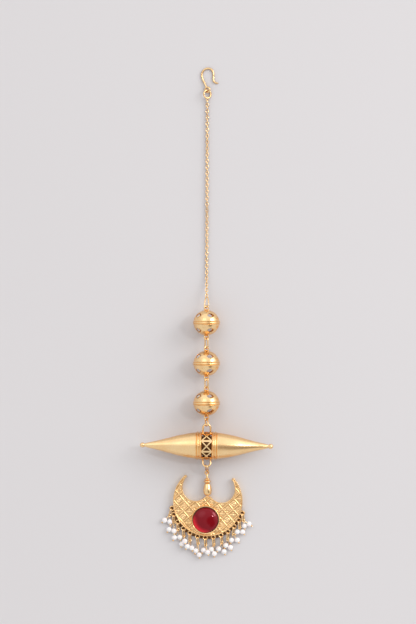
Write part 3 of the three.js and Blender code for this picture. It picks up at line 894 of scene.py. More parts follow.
class Grower(Graph):
    """A geometry node tree with named inputs, which ends in Realize Instances and Set Material."""

    def __init__(self, name, inputs):
        super().__init__(bpy.data.node_groups.new(name, "GeometryNodeTree"))
        face = self.tree.interface
        face.new_socket("Geometry", in_out="INPUT", socket_type="NodeSocketGeometry")
        for label, kind in {**inputs, "Material": "material"}.items():
            face.new_socket(label, in_out="INPUT", socket_type=SOCKETS[kind])
        face.new_socket("Geometry", in_out="OUTPUT", socket_type="NodeSocketGeometry")
        given = self.tree.nodes.new("NodeGroupInput")
        self.given = {socket.name: Value(self, socket) for socket in given.outputs if socket.name}

    def close(self, geometry):
        """Ends the tree with the geometry made whole and given its material."""
        whole = self.node("GeometryNodeRealizeInstances", {"Geometry": geometry})
        inputs = {"Geometry": whole, "Material": self.given["Material"]}
        painted = self.node("GeometryNodeSetMaterial", inputs)
        self.tree.links.new(painted.socket, self.tree.nodes.new("NodeGroupOutput").inputs[0])
        return self

    def vector(self, x=0.0, y=0.0, z=0.0):
        return self.node("ShaderNodeCombineXYZ", {0: x, 1: y, 2: z})

    def axes(self, vector):
        """The three coordinates of a vector."""
        first = self.node("ShaderNodeSeparateXYZ", {0: vector})
        return [Value(self, socket) for socket in first.socket.node.outputs]

    def attribute(self, name, kind):
        return self.node("GeometryNodeInputNamedAttribute", {"Name": name}, data_type=kind)

    def turn(self, direction, roll):
        """The turn that takes +Y to a direction, after a roll about +Y."""
        spin = self.node("FunctionNodeAxisAngleToRotation", {"Axis": (0, 1, 0), "Angle": roll})
        swing = self.node("FunctionNodeAlignRotationToVector", {"Vector": direction}, axis="Y")
        inputs = {"Rotation": swing, "Rotate By": spin}
        return self.node("FunctionNodeRotateRotation", inputs, rotation_space="LOCAL")

    def grow(self, source, values):
        """The mesh that the tree makes from a source mesh and the values of its named inputs."""
        helper = helper_object("source", source)
        modifier = helper.modifiers.new("grow", "NODES")
        modifier.node_group = self.tree
        for item in self.tree.interface.items_tree:
            if item.in_out == "INPUT" and item.name in values:
                modifier[item.identifier] = values[item.name]
        return evaluated_mesh(helper)


def copy_tree():
    """Copies of one object on the points of a mesh, turned and sized by the points' attributes."""
    tree = Grower("copies on points", {"Shape": "object", "Size": "number"})
    shape = tree.node("GeometryNodeObjectInfo", {"Object": tree.given["Shape"]}, "Geometry")
    turn = tree.turn(tree.attribute("along", "FLOAT_VECTOR"), tree.attribute("roll", "FLOAT"))
    inputs = {0: tree.attribute("size", "FLOAT_VECTOR"), "Scale": tree.given["Size"]}
    size = tree.node("ShaderNodeVectorMath", inputs, operation="SCALE")
    inputs = {"Points": tree.given["Geometry"], "Instance": shape, "Rotation": turn, "Scale": size}
    return tree.close(tree.node("GeometryNodeInstanceOnPoints", inputs))


def seat(at, along=Y_AXIS, roll=0, size=(1, 1, 1)):
    """Where a copy sits: a point, the direction of its +Y axis there, its roll in degrees and its
    size along its three axes."""
    return at, along, roll, size


def copies(shape, seats, material):
    """One mesh of copies of a shape, one on each seat."""
    spots, ways, rolls, scales = zip(*seats)
    points = bpy.data.meshes.new("seats")
    points.from_pydata(spots, [], [])
    for label, vectors in (("along", ways), ("size", scales)):
        attribute = points.attributes.new(label, "FLOAT_VECTOR", "POINT")
        attribute.data.foreach_set("vector", [c for vector in vectors for c in vector])
    attribute = points.attributes.new("roll", "FLOAT", "POINT")
    attribute.data.foreach_set("value", [math.radians(roll) for roll in rolls])
    sample = helper_object("sample", shape.mesh("sample"))
    mesh = copy_tree().grow(points, {"Shape": sample, "Size": 1.0, "Material": material})
    bpy.data.objects.remove(sample)
    return mesh


def chain_tree():
    """Links of a cable chain along a line, each a quarter turn from the last, with a slow twist."""
    sizes = dict.fromkeys(["Pitch", "Half Width", "Half Length", "Wire", "Twist"], "number")
    tree = Grower("cable chain", sizes)
    given = tree.given
    circle = tree.node("GeometryNodeCurvePrimitiveCircle", {"Resolution": 18, "Radius": 1.0})
    scale = tree.vector(given["Half Width"], given["Half Length"], 1.0)
    oval = tree.node("GeometryNodeTransform", {"Geometry": circle, "Scale": scale})
    section_inputs = {"Resolution": 8, "Radius": given["Wire"] * 0.5}
    section = tree.node("GeometryNodeCurvePrimitiveCircle", section_inputs)
    link = tree.node("GeometryNodeCurveToMesh", {"Curve": oval, "Profile Curve": section})
    line = tree.node("GeometryNodeMeshToCurve", {0: given["Geometry"]})
    inputs = {"Curve": line, "Length": given["Pitch"]}
    spots = tree.node("GeometryNodeResampleCurve", inputs, mode="LENGTH")
    index = tree.node("GeometryNodeInputIndex")
    quarter = tree.maths("MODULO", index, 2.0) * (math.pi / 2)
    sway = tree.maths("SINE", index * 0.41) + tree.maths("SINE", index * 0.17)
    roll = quarter + sway * given["Twist"] + math.radians(CHAIN_ROLL)
    turn = tree.turn(tree.node("GeometryNodeInputTangent"), roll)
    inputs = {"Points": spots, "Instance": link, "Rotation": turn}
    return tree.close(tree.node("GeometryNodeInstanceOnPoints", inputs))


def lattice_tree():
    """A drum of pierced cells: bars and crossed struts, bent round from a flat strip."""
    sizes = dict.fromkeys(["Radius", "Width", "Cells", "Bar", "Strut", "Wall"], "number")
    tree = Grower("lattice drum", sizes)
    given = tree.given
    cell = given["Radius"] * (2 * math.pi) / given["Cells"]
    diagonal = (given["Width"] ** 2.0 + cell**2.0) ** 0.5
    slope = tree.maths("ARCTAN2", given["Width"], cell)

    def slat(width, reach, turn):
        size = tree.vector(width, reach, given["Wall"])
        inputs = {"Size": size, "Vertices Y": 20, "Vertices X": 3}
        block = tree.node("GeometryNodeMeshCube", inputs)
        inputs = {"Geometry": block, "Rotation": tree.vector(z=turn)}
        return tree.node("GeometryNodeTransform", inputs)

    struts = [slat(given["Strut"], diagonal, slope * side) for side in (1.0, -1.0)]
    bar_size = tree.vector(given["Width"], given["Bar"], given["Wall"])
    bar = tree.node("GeometryNodeMeshCube", {"Size": bar_size, "Vertices Y": 4})
    inputs = {"Geometry": bar, "Translation": tree.vector(y=cell * 0.5)}
    bar = tree.node("GeometryNodeTransform", inputs)
    boss_inputs = {"Radius": given["Strut"] * 0.85, "Depth": given["Wall"], "Vertices": 12}
    boss = tree.node("GeometryNodeMeshCylinder", boss_inputs)
    joint = tree.tree.nodes.new("GeometryNodeJoinGeometry")
    for part in (*struts, bar, boss):
        tree.tree.links.new(part.socket, joint.inputs[0])
    inputs = {"Count": given["Cells"], "Offset": tree.vector(y=cell)}
    spots = tree.node("GeometryNodeMeshLine", inputs, mode="OFFSET")
    inputs = {"Points": spots, "Instance": Value(tree, joint.outputs[0])}
    strip = tree.node("GeometryNodeInstanceOnPoints", inputs)
    flat = tree.node("GeometryNodeRealizeInstances", {"Geometry": strip})
    x, y, z = tree.axes(tree.node("GeometryNodeInputPosition"))
    angle = y / given["Radius"]
    reach = given["Radius"] - given["Wall"] * 0.5 + z
    bent = tree.vector(x, reach * tree.maths("SINE", angle), reach * tree.maths("COSINE", angle))
    return tree.close(tree.node("GeometryNodeSetPosition", {"Geometry": flat, "Position": bent}))


def relief_tree():
    """Chased relief: crossed ridges, a motif in each diamond, and granules between."""
    tree = Grower("chased relief", dict.fromkeys(["Cell", "Ridge", "Granule"], "number"))
    given = tree.given
    place = tree.node("GeometryNodeInputPosition")
    wander = tree.noise(place, 3.5 * MM, 1.0) * (0.5 * MM)
    x, y, _ = tree.axes(place)
    step = given["Cell"] * math.sqrt(2)
    lines = [(x + y * side + wander * side + 0.6 * MM) / step for side in (1, -1)]
    far = [tree.maths("PINGPONG", line, 0.5) for line in lines]
    nearest = tree.maths("MINIMUM", *far)
    ridge = tree.ramp(nearest, 0.085, 0.03)
    # Painted shade in a band beside each ridge.
    painted_ridge_shade = tree.ramp(nearest, 0.16, 0.1) * tree.ramp(nearest, 0.05, 0.08)
    out = [(0.5 - f) ** 2.0 for f in far]
    centre = (out[0] + out[1]) ** 0.5
    kinds = [tree.maths("FLOOR", line) for line in lines]
    kind = tree.maths("FLOORED_MODULO", kinds[0] + kinds[1] * 2, 3.0)

    def stroke(height, wide):
        """A line where the height is nought."""
        return tree.ramp(tree.maths("ABSOLUTE", height), wide, 0.02)

    circle = tree.larger(stroke(centre - 0.24, 0.09), tree.ramp(centre, 0.13, 0.05))
    leaf = stroke(far[0] - far[1], 0.09) * tree.ramp(centre, 0.34, 0.3)
    squiggle = stroke(tree.noise(place, 0.9 * MM, 0.0) - 0.5, 0.07)
    is_leaf, is_squiggle = (tree.maths("COMPARE", kind, number, 0.1) for number in (1.0, 2.0))
    is_circle = 1 - is_leaf - is_squiggle
    motif = is_circle * circle + is_leaf * leaf + is_squiggle * squiggle
    grains = tree.ramp(tree.cells(place, given["Granule"]), 0.55, 0.1)
    height = tree.larger(ridge, tree.larger(motif * 0.8, grains * 0.45))
    up = tree.attribute("raised", "FLOAT")
    inputs = {"Geometry": given["Geometry"], "Offset": tree.vector(z=height * given["Ridge"] * up)}
    chased = tree.node("GeometryNodeSetPosition", inputs)
    # The stored mask: patina in the low field and painted shade beside the ridges.
    pits = tree.ramp(height, 0.4, 0.05) * 0.42
    inputs = {"Geometry": chased, "Name": "recess", "Value": tree.larger(pits, painted_ridge_shade) * up}
    kind = "GeometryNodeStoreNamedAttribute"
    return tree.close(tree.node(kind, inputs, data_type="FLOAT", domain="POINT"))


# ---- the pieces --------------------------------------------------------------


class BuildPiece:
    """What every operator here shares: it builds its pieces from the scene's settings."""

    bl_options = {"REGISTER", "UNDO"}

    def execute(self, context):
        self.build(context.scene.tikka)
        return {"FINISHED"}


class TIKKA_OT_hook(BuildPiece, bpy.types.Operator):
    """Add the hair hook and its jump ring"""

    bl_idname = "tikka.hook"
    bl_label = "Hair Hook"

    def build(self, tikka):
        sizes = tikka.hook
        gold = wire_gold(tikka.finish)
        route = curve_through(HOOK_ROUTE, 0.25 * MM)
        shank = wire(route, sizes.wire, ends=(0.6, 1.0))
        eye = rolled_ring(sizes.eye, sizes.wire, HOOK_EYE)
        finished("hair_hook_wire", joined([shank, eye]), gold, ["hair_hook"])
        ring = rolled_ring(sizes.ring, sizes.ring_wire, HOOK_RING)
        finished("hook_jump_ring", ring, gold, ["hook_ring"])


class TIKKA_OT_chain(BuildPiece, bpy.types.Operator):
    """Add the cable chain and the ring at its lower end"""

    bl_idname = "tikka.chain"
    bl_label = "Cable Chain"

    def build(self, tikka):
        sizes = tikka.chain
        gold = wire_gold(tikka.finish)
        spots = curve_through(CHAIN_ROUTE, 0.5 * MM)
        # The line runs from the ball to the hook, because a turn to -Y has no one answer.
        line = bpy.data.meshes.new("chain line")
        line.from_pydata(spots[::-1], [(i, i + 1) for i in range(len(spots) - 1)], [])
        reach = sum((b - a).length for a, b in zip(spots, spots[1:]))
        values = {
            "Pitch": reach / round(reach / sizes.pitch) * CHAIN_SLACK,
            "Half Width": (sizes.link_width - sizes.wire) / 2,
            "Half Length": (sizes.pitch + sizes.wire) / 2,
            "Wire": sizes.wire,
            "Twist": math.radians(CHAIN_TWIST),
            "Material": gold,
        }
        finished("chain_links", chain_tree().grow(line, values), gold, ["chain"])
        foot, roll, narrow = CHAIN_END["point"], CHAIN_END["roll"], CHAIN_END["narrow"]
        start = hug(ball_eye_tip("ball_1", 1), foot, tikka.link.hug)
        drop = link_between(start, foot, sizes.end_radius, sizes.end_wire, roll, narrow)
        finished("chain_end_drop", drop, gold, ["chain_end_link"])


def ball_eye_tip(name, side):
    """Where the outermost wire of a ball's eye runs: side 1 is the eye towards the hook."""
    return middle(name) + Y_AXIS * side * (BALL_EYE["reach"] + bpy.context.scene.tikka.ball.eye)


def hug(point, away, distance):
    """The end of a link that holds the wire at a point and leads to another point."""
    return point + (point - away).normalized() * distance


def ball_radius(sizes, height):
    """Radius of a ball's skin at a height over its equator, with the two ridges and the band."""
    skin = sizes.equator * math.sqrt(max(0.0, 1 - (height / sizes.polar) ** 2))
    from_ridge = (abs(height) - BALL_SEAM["ridge_at"]) / BALL_SEAM["ridge_half"]
    ridge = (sizes.ridge - sizes.equator) * math.exp(-from_ridge * from_ridge)
    bulge = max(0.0, 1 - (height / BALL_SEAM["band_half"]) ** 2)
    band = (sizes.band - sizes.equator) * bulge
    return skin + max(ridge, band)


def ball_skin(sizes):
    """The outer and inner skins of a ball."""
    heights = [sizes.polar * math.sin(math.radians(a)) for a in range(-90, -12, 3)]
    seam = [h * MM / 20 for h in range(-20, 21)]
    heights += [*seam, *(-h for h in reversed(heights))]
    rows = [(ball_radius(sizes, h) if abs(h) < sizes.polar else 0, h) for h in heights]
    outer = turned(rows, 96)
    inside = [math.radians(a) for a in range(-90, 91, 6)]
    reach, rise = sizes.equator - sizes.wall, sizes.polar - sizes.wall
    profile = [(reach * math.cos(a) if abs(a) < 1.57 else 0, rise * math.sin(a)) for a in inside]
    inner = turned(profile, 64)
    inner.faces = [tuple(reversed(face)) for face in inner.faces]
    return joined([outer, inner])


def leaf_punch(half_width, half_height, near, far, latitude, azimuth):
    """A closed leaf-shaped punch that points outwards at a latitude and azimuth of a ball."""
    outline = []
    for i in range(24):
        angle = 2 * math.pi * i / 24
        x = math.cos(angle)
        y = math.copysign((1 - abs(x) ** 1.7) ** 0.95, math.sin(angle)) if abs(x) < 1 else 0
        outline.append((x * half_width, y * half_height))
    points = [(x * d / far, y * d / far, d) for d in (near, far) for x, y in outline]
    sides = len(outline)
    faces = [*bridge(2, sides), tuple(reversed(range(sides))), tuple(range(sides, 2 * sides))]
    tilt = Matrix.Rotation(math.radians(-latitude), 4, "X")
    return Shape(points, faces).moved(spin_y(azimuth) @ tilt)


def ball_punches(sizes):
    """Windows round both halves, and between them shallow stamped petals beside the seam."""
    step = 360 / sizes.windows
    bed, near, far = sizes.equator - PETAL["depth"], sizes.equator * 0.5, sizes.equator * 1.2
    window = sizes.window_width * WINDOW["wide"], sizes.window_height * WINDOW["high"], near, far
    petal = *PETAL["half"], bed, far
    punches = []
    for i in range(sizes.windows):
        azimuth = WINDOW["azimuth"] + step * i
        for side in (1, -1):
            punches.append(leaf_punch(*window, WINDOW["latitude"] * side, azimuth))
            for shift in (-PETAL["apart"], PETAL["apart"]):
                spot = PETAL["latitude"] * side, azimuth + step / 2 + shift
                punches.append(leaf_punch(*petal, *spot))
    return joined(punches)


NECK_ROWS = [(0, -1.0), (1.25, -0.92), (0.9, -0.68), (0.62, -0.42), (0, -0.36)]


class TIKKA_OT_balls(BuildPiece, bpy.types.Operator):
    """Add the three pierced balls with their eyes"""

    bl_idname = "tikka.balls"
    bl_label = "Pierced Balls"

    def build(self, tikka):
        sizes = tikka.ball
        gold = polished_gold(tikka.finish)
        shell = carved(ball_skin(sizes), ball_punches(sizes))
        eyes = []
        for name, turn in BALL_TURNS.items():
            mesh = shell.copy()
            mesh.transform(Matrix.Translation(middle(name)) @ spin_y(turn))
            finished(f"{name}_shell", mesh, gold, [name], sharp=34)
            for side in (1, -1):
                at = middle(name) + Y_AXIS * BALL_EYE["reach"] * side
                eyes.append(seat(at, Y_AXIS * side, BALL_EYE["roll"] * side))
        neck = turned(smoothed(NECK_ROWS, 12), 20).moved(Matrix.Scale(MM, 4))
        eye = wire(ring_path(sizes.eye, count=24), sizes.eye_wire, closed=True, sides=12)
        finished("ball_eyes", copies(joined([eye, neck]), eyes, gold), gold)


def spindle_place():
    """Puts a shape that is turned about +Y on the spindle's axis."""
    return Matrix.Translation(SPINDLE_CENTRE) @ spin_z(SPINDLE_LEAN - 90)


def spindle_ends(shape):
    """A shape at both ends of the spindle: the right one and the left one."""
    return [shape.moved(spindle_place()), shape.moved(spindle_place() @ spin_z(180))]


CONE_START = (5.1, 4.1)
CONE_FLANK = [
    (4.86, 5.8),
    (4.58, 7.5),
    (3.82, 11.2),
    (2.85, 14.8),
    (1.95, 18.2),
    (1.22, 21.5),
    (0.8, 23.3),
]


def cone_profile():
    """One cone from its shoulder to the neck of its tip bead, as (radius, distance) rows."""
    flank = smoothed([CONE_START, *CONE_FLANK], 60)
    return in_metres([(0, 3.9), (5.02, 3.9), *flank, (0.62, 23.7), (0.6, 24.1), (0, 24.1)])


def collar_profile(sizes):
    """Closed section of one collar: two round ridges over a straight bore."""
    top, relief = sizes.collar / MM, 0.42
    start, end, bore, steps = 1.95, 4.1, 4.8, 28
    rows = [(bore, 4.12), (bore, 1.9)]
    for i in range(steps + 1):
        place = start + (end - start) * i / steps
        ridges = max(math.exp(-(((place - at) / 0.27) ** 2)) for at in (2.45, 3.42))
        beads = max(math.exp(-(((place - at) / 0.1) ** 2)) for at in (2.02, 4.02)) * 0.5
        rows.append((top - relief + relief * max(ridges, beads), place))
    return in_metres(rows)


class TIKKA_OT_spindle(BuildPiece, bpy.types.Operator):
    """Add the spindle: cones, tip beads, collars, lattice drum and hanging rings"""

    bl_idname = "tikka.spindle"
    bl_label = "Spindle Bar"

    def build(self, tikka):
        sizes = tikka.spindle
        gold, satin = polished_gold(tikka.finish), satin_gold(tikka.finish)
        right, left = spindle_ends(turned(cone_profile(), 96))
        finished("spindle_cone_right", right, satin, ["spindle"])
        finished("spindle_cone_left", left, satin)
        collars = joined(spindle_ends(turned(collar_profile(sizes), 96)))
        finished("spindle_collars", collars, gold)
        place = Matrix.Translation((0, sizes.half_length - SPINDLE_TIP, 0))
        tips = joined(spindle_ends(sphere(SPINDLE_TIP, 18, 32).moved(place)))
        finished("spindle_tip_beads", tips, gold)
        self.build_drum(sizes, gold)
        self.build_core(oxidised_gold(tikka.finish))
        self.build_rings(sizes, wire_gold(tikka.finish))

    def build_drum(self, sizes, gold):
        values = {
            "Radius": sizes.drum,
            "Width": DRUM_WIDTH,
            "Cells": float(sizes.cells),
            "Bar": sizes.bar,
            "Strut": sizes.strut,
            "Wall": sizes.wall,
            "Material": gold,
        }
        seed = bpy.data.meshes.new("seed")
        seed.from_pydata([(0, 0, 0)], [], [])
        mesh = lattice_tree().grow(seed, values)
        mesh.transform(Matrix.Translation(SPINDLE_CENTRE) @ spin_z(SPINDLE_LEAN))
        finished("spindle_lattice", mesh, gold)

    def build_core(self, dark):
        """Painted shade inside the drum: a dark disc behind each collar and a dark core between
        them.
        """
        disc = cylinder(DRUM_DISC["radius"], DRUM_DISC["near"], DRUM_DISC["far"])
        finished("spindle_inner_ends", joined(spindle_ends(disc)), dark)
        core = cylinder(DRUM_CORE["radius"], -DRUM_CORE["half"], DRUM_CORE["half"])
        finished("spindle_core", core.moved(spindle_place()), dark)

    def build_rings(self, sizes, gold):
        size = sizes.ring, sizes.ring_wire, 0
        upper = link_between(UPPER_IN_DRUM, UPPER_RING, *size)
        finished("spindle_upper_wire", upper, gold, ["spindle_ring_upper"])
        lower = link_between(LOWER_RING, LOWER_IN_DRUM, *size)
        finished("spindle_lower_wire", lower, gold, ["spindle_ring_lower"])


class TIKKA_OT_links(BuildPiece, bpy.types.Operator):
    """Add the small links between the balls, the spindle and the pendant"""

    bl_idname = "tikka.links"
    bl_label = "Small Links"

    def build(self, tikka):
        sizes = tikka.link
        gold = wire_gold(tikka.finish)
        joints = {
            "ball_link_1": (ball_eye_tip("ball_2", 1), ball_eye_tip("ball_1", -1)),
            "ball_link_2": (ball_eye_tip("ball_3", 1), ball_eye_tip("ball_2", -1)),
            "spindle_link": (UPPER_RING, ball_eye_tip("ball_3", -1)),
            "pendant_link": (STEM_TOP + Y_AXIS * STEM_EYE["radius"], LOWER_RING),
        }
        for name, (a, b) in joints.items():
            ends = hug(a, b, sizes.hug), hug(b, a, sizes.hug)
            link = link_between(*ends, sizes.radius, sizes.wire, LINK_ROLLS[name])
            finished(f"{name}_wire", link, gold, [name])


# ---- the crescent ------------------------------------------------------------


def arc(centre, radius, start, end, count):
    """Points of an arc, from a start angle to an end angle in radians."""
    angles = [start + (end - start) * i / count for i in range(count + 1)]
    return [(centre[0] + radius * math.cos(a), centre[1] + radius * math.sin(a)) for a in angles]


def crescent_outline(radius, inset):
    """The crescent's outline, drawn in by inset: a round outer edge, two horns with round tips and
    an inner edge of two lobes that meet in a flat-topped peak."""
    lobe_centre = (LOBE["offset"], LOBE["rise"])
    lobe_radius = LOBE["radius"] + inset
    horn_radius = HORN["radius"] + inset
    horn_centre = (LOBE["offset"] + LOBE["radius"] - HORN["radius"], LOBE["rise"])
    tip_angle = math.radians(HORN["angle"])
    tip_reach = radius - HORN["tip"]
    tip = (tip_reach * math.cos(tip_angle), tip_reach * math.sin(tip_angle))
    peak_top = PEAK - inset
    peak_half = LOBE["offset"] - math.sqrt(lobe_radius**2 - (LOBE["rise"] - peak_top) ** 2)
    horn_end = math.asin((tip[1] - LOBE["rise"] - 0.25 * MM) / horn_radius)
    peak_angle = math.atan2(peak_top - LOBE["rise"], peak_half - LOBE["offset"])
    tip_radius = HORN["tip"] - inset * 0.6
    right = [
        *arc((0, 0), radius - inset, -math.pi / 2, tip_angle - 0.02, 72),
        *arc(tip, tip_radius, tip_angle + 0.3, tip_angle + math.pi - 0.3, 10),
        *arc(horn_centre, horn_radius, horn_end, 0.06, 14),
        *arc(lobe_centre, lobe_radius, 0, peak_angle, 40),
    ]
    left = [(-x, y) for x, y in reversed(right)]
    return [*right, *left[:-1]]


def crescent_place():
    """Puts a shape made round the crescent's own centre where the crescent lies."""
    return Matrix.Translation(CRESCENT_CENTRE) @ spin_z(CRESCENT_LEAN)


def plate_shape(sizes):
    """The plate with its raised border, as a loft of outlines that step in and up."""
    width, top, field = sizes.border, sizes.border_height, sizes.field - 0.25 * MM
    steps = [(0.3 * MM, 0), (0.06 * MM, 0.08 * MM), (0, 0.3 * MM), (0, top - 0.2 * MM)]
    steps += [(width * 0.14, top - 0.05 * MM), (width * 0.4, top), (width * 0.7, top - 0.03 * MM)]
    steps += [(width * 0.92, top - 0.14 * MM), (width, field)]
    rows = [[(x, y, z) for x, y in crescent_outline(sizes.radius, inset)] for inset, z in steps]
    sides = len(rows[0])
    last = len(rows) - 1
    faces = bridge(len(rows), sides)
    faces.append(tuple(reversed(range(sides))))
    faces.append(tuple(range(last * sides, (last + 1) * sides)))
    return Shape([p for row in rows for p in row], faces)


def inside(outline, x, y):
    """Which of the points lie inside a closed outline."""
    found = np.zeros(x.shape, bool)
    for (ax, ay), (bx, by) in zip(outline, outline[1:] + outline[:1]):
        crosses = (ay > y) != (by > y)
        with np.errstate(divide="ignore", invalid="ignore"):
            found ^= crosses & (x < (bx - ax) * (y - ay) / (by - ay) + ax)
    return found


def field_block(sizes):
    """A closed block with a fine grid on top that reaches a little under the field's border."""
    outline = crescent_outline(sizes.radius, sizes.border * FIELD["under_border"])
    ticks = np.arange(-sizes.radius, sizes.radius, FIELD["grid"])
    middles = (ticks[:-1] + ticks[1:]) / 2
    kept = inside(outline, *np.meshgrid(middles, middles, indexing="ij"))
    numbers, points, faces, edges = {}, [], [], {}

    def corner(i, j):
        if (i, j) not in numbers:
            numbers[i, j] = len(points)
            points.append((ticks[i], ticks[j]))
        return numbers[i, j]

    for i, j in zip(*np.nonzero(kept)):
        square = (corner(i, j), corner(i + 1, j), corner(i + 1, j + 1), corner(i, j + 1))
        faces.append(square)
        for a, b in zip(square, square[1:] + square[:1]):
            edges[a, b] = (b, a) not in edges
            if (b, a) in edges:
                edges[b, a] = False
    count = len(points)
    low, high = sizes.field - FIELD["depth"], sizes.field
    all_points = [(px, py, high) for px, py in points] + [(px, py, low) for px, py in points]
    all_faces = faces + [tuple(i + count for i in reversed(face)) for face in faces]
    all_faces += [(b, a, a + count, b + count) for (a, b), open_edge in edges.items() if open_edge]
    mesh = Shape(all_points, all_faces).mesh("field")
    raised = mesh.attributes.new("raised", "FLOAT", "POINT")
    raised.data.foreach_set("value", [1.0] * count + [0.0] * count)
    return mesh


def bezel_profile(sizes):
    """Closed section of the bezel: a rounded lip that leans in over the stone, on a small step."""
    outer, wall, top = sizes.bezel / MM, sizes.bezel_wall / MM, sizes.bezel_height / MM
    rows = [
        (outer - wall, 1.2),
        (outer + 0.1, 1.2),
        (outer + 0.1, 1.95),
        (outer + 0.02, 2.12),
        (outer, 2.3),
        (outer - 0.02, top - 0.3),
        (outer - 0.1, top - 0.08),
        (outer - 0.22, top),
        (outer - 0.38, top - 0.05),
        (outer - wall - 0.08, top - 0.25),
        (outer - wall, top - 0.5),
    ]
    return in_metres(rows)


def lying():
    """Turns a shape made about +Y so that it stands on the table about +Z."""
    return Matrix.Rotation(math.pi / 2, 4, "X")


def rim_place(sizes, crescent_radius, degrees):
    """The middle of the rim loop at an angle from the bottom of the crescent."""
    reach = crescent_radius + sizes.reach
    angle = math.radians(degrees)
    spot = Vector((reach * math.sin(angle), -reach * math.cos(angle), sizes.height))
    return crescent_place() @ spot


class TIKKA_OT_crescent(BuildPiece, bpy.types.Operator):
    """Add the crescent plate with its relief, horn tips, bezel, rim loops and stem"""

    bl_idname = "tikka.crescent"
    bl_label = "Crescent"

    def build(self, tikka):
        sizes = tikka.crescent
        gold, chased = polished_gold(tikka.finish), chased_gold(tikka.finish)
        place = crescent_place()
        plate = plate_shape(sizes).moved(place)
        finished("crescent_plate", plate, chased, ["pendant_crescent"])
        values = {
            "Cell": sizes.cell,
            "Ridge": sizes.ridge,
            "Granule": sizes.granule,
            "Material": chased,
        }
        relief = relief_tree().grow(field_block(sizes), values)
        relief.transform(place)
        finished("crescent_relief", relief, chased, sharp=80)
        bezel = turned(list(reversed(bezel_profile(sizes))), 96)
        bezel = bezel.moved(place @ Matrix.Translation(BEZEL) @ lying())
        finished("stone_bezel", bezel, gold)
        self.build_tips(sizes, gold)
        self.build_loops(tikka, sizes)
        self.build_scallops(tikka, sizes)
        self.build_stem(sizes, gold)

    def build_tips(self, sizes, gold):
        angle = math.radians(HORN["angle"])
        reach = sizes.radius - HORN["tip"]
        ball = sphere(HORN_BALL["radius"], 12, 20)
        tips = []
        for side in (1, -1):
            spot = (side * reach * math.cos(angle), reach * math.sin(angle), HORN_BALL["height"])
            tips.append(ball.moved(crescent_place() @ Matrix.Translation(spot)))
        finished("horn_tips", joined(tips), gold)

    def build_loops(self, tikka, sizes):
        fringe, gold = tikka.fringe, wire_gold(tikka.finish)
        loop = wire(ring_path(fringe.loop, count=22), fringe.loop_wire, closed=True, sides=10)
        seats = [seat(rim_place(fringe, sizes.radius, row[0])) for row in STATIONS]
        finished("rim_loops", copies(loop, seats, gold), gold)

    def build_scallops(self, tikka, sizes):
        """Painted shade: dark discs on the table behind the rim loops and halfway between them, for
        the shade under the crescent's rim.
        """
        fringe, dark = tikka.fringe, oxidised_gold(tikka.finish)
        half = fringe.scallop_thickness / 2
        flat = fringe.scallop - half * 0.6
        rows = [(0, -half), (flat, -half), (fringe.scallop, 0), (flat, half), (0, half)]
        angles = [row[0] for row in STATIONS]
        seats = []
        for at in sorted(angles + [(low + high) / 2 for low, high in zip(angles, angles[1:])]):
            spot = rim_place(fringe, sizes.radius - fringe.reach * 0.6, at)
            spot.z = PAINTED_SHADE_DISC_HEIGHT
            seats.append(seat(spot, Z_AXIS))
        finished("rim_scallops", copies(turned(rows, 28), seats, dark), dark)

    def build_stem(self, sizes, gold):
        reach = (STEM_TOP - STEM_FOOT).length
        end = reach - STEM_EYE["radius"] + STEM_EYE["overlap"]
        post = wire([(0, 0, 0), (0, end / 2, 0), (0, end, 0)], sizes.stem, sides=16)
        eye = wire(ring_path(STEM_EYE["radius"]), STEM_EYE["wire"], closed=True)
        eye = eye.moved(Matrix.Translation((0, reach, 0)))
        place = Matrix.Translation(STEM_FOOT) @ along(STEM_FOOT, STEM_TOP)
        finished("stem_wire", joined([post, eye]).moved(place), gold)


PEAR_ROWS = [  # (share of the radius, share of the length) from the foot to the top
    (0, 0),
    (0.5, 0.02),
    (0.8, 0.1),
    (0.97, 0.26),
    (1, 0.42),
    (0.93, 0.62),
    (0.77, 0.82),
    (0.58, 0.95),
    (0.4, 1),
    (0, 1.01),
]
COLLAR_ROWS = [
    (0, 0),
    (0.6, 0.01),
    (0.9, 0.08),
    (1, 0.24),
    (0.9, 0.4),
    (0.55, 0.48),
    (0.52, 0.52),
    (0.7, 0.58),
    (0.79, 0.7),
    (0.72, 0.84),
    (0.45, 0.92),
    (0, 1.01),
]


class TIKKA_OT_beads(BuildPiece, bpy.types.Operator):
    """Add the pear bead and the collar bead on the stem"""

    bl_idname = "tikka.beads"
    bl_label = "Stem Beads"

    def build(self, tikka):
        gold = polished_gold(tikka.finish)
        beads = {"pear_bead": (PEAR_BEAD, PEAR_ROWS), "collar_bead": (COLLAR_BEAD, COLLAR_ROWS)}
        for name, (size, rows) in beads.items():
            profile = [(r * size["radius"], h * size["length"]) for r, h in rows]
            start = STEM_FOOT + (STEM_TOP - STEM_FOOT).normalized() * size["start"]
            place = Matrix.Translation(start) @ along(STEM_FOOT, STEM_TOP)
            bead = turned(smoothed(profile, 40), 40).moved(place)
            finished(f"{name}_turned", bead, gold, [name])


class TIKKA_OT_stone(BuildPiece, bpy.types.Operator):
    """Add the red cabochon"""

    bl_idname = "tikka.stone"
    bl_label = "Cabochon"

    def build(self, tikka):
        sizes = tikka.stone
        rise = sizes.dome - sizes.girdle
        angles = [math.radians(a) for a in range(0, 91, 3)]
        crown = [(sizes.radius * math.cos(a), sizes.girdle + rise * math.sin(a)) for a in angles]
        crown[-1] = (0, sizes.dome)
        rows = [(0, 0), (sizes.radius - 0.15 * MM, 0), (sizes.radius, sizes.girdle * 0.3), *crown]
        spot = middle("ruby")
        spot.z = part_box("ruby")[0].z
        stone = turned(rows, 96).moved(Matrix.Translation(spot) @ lying())
        finished("cabochon", stone, ruby_glass(tikka.finish), ["ruby"])


# ---- the fringe --------------------------------------------------------------


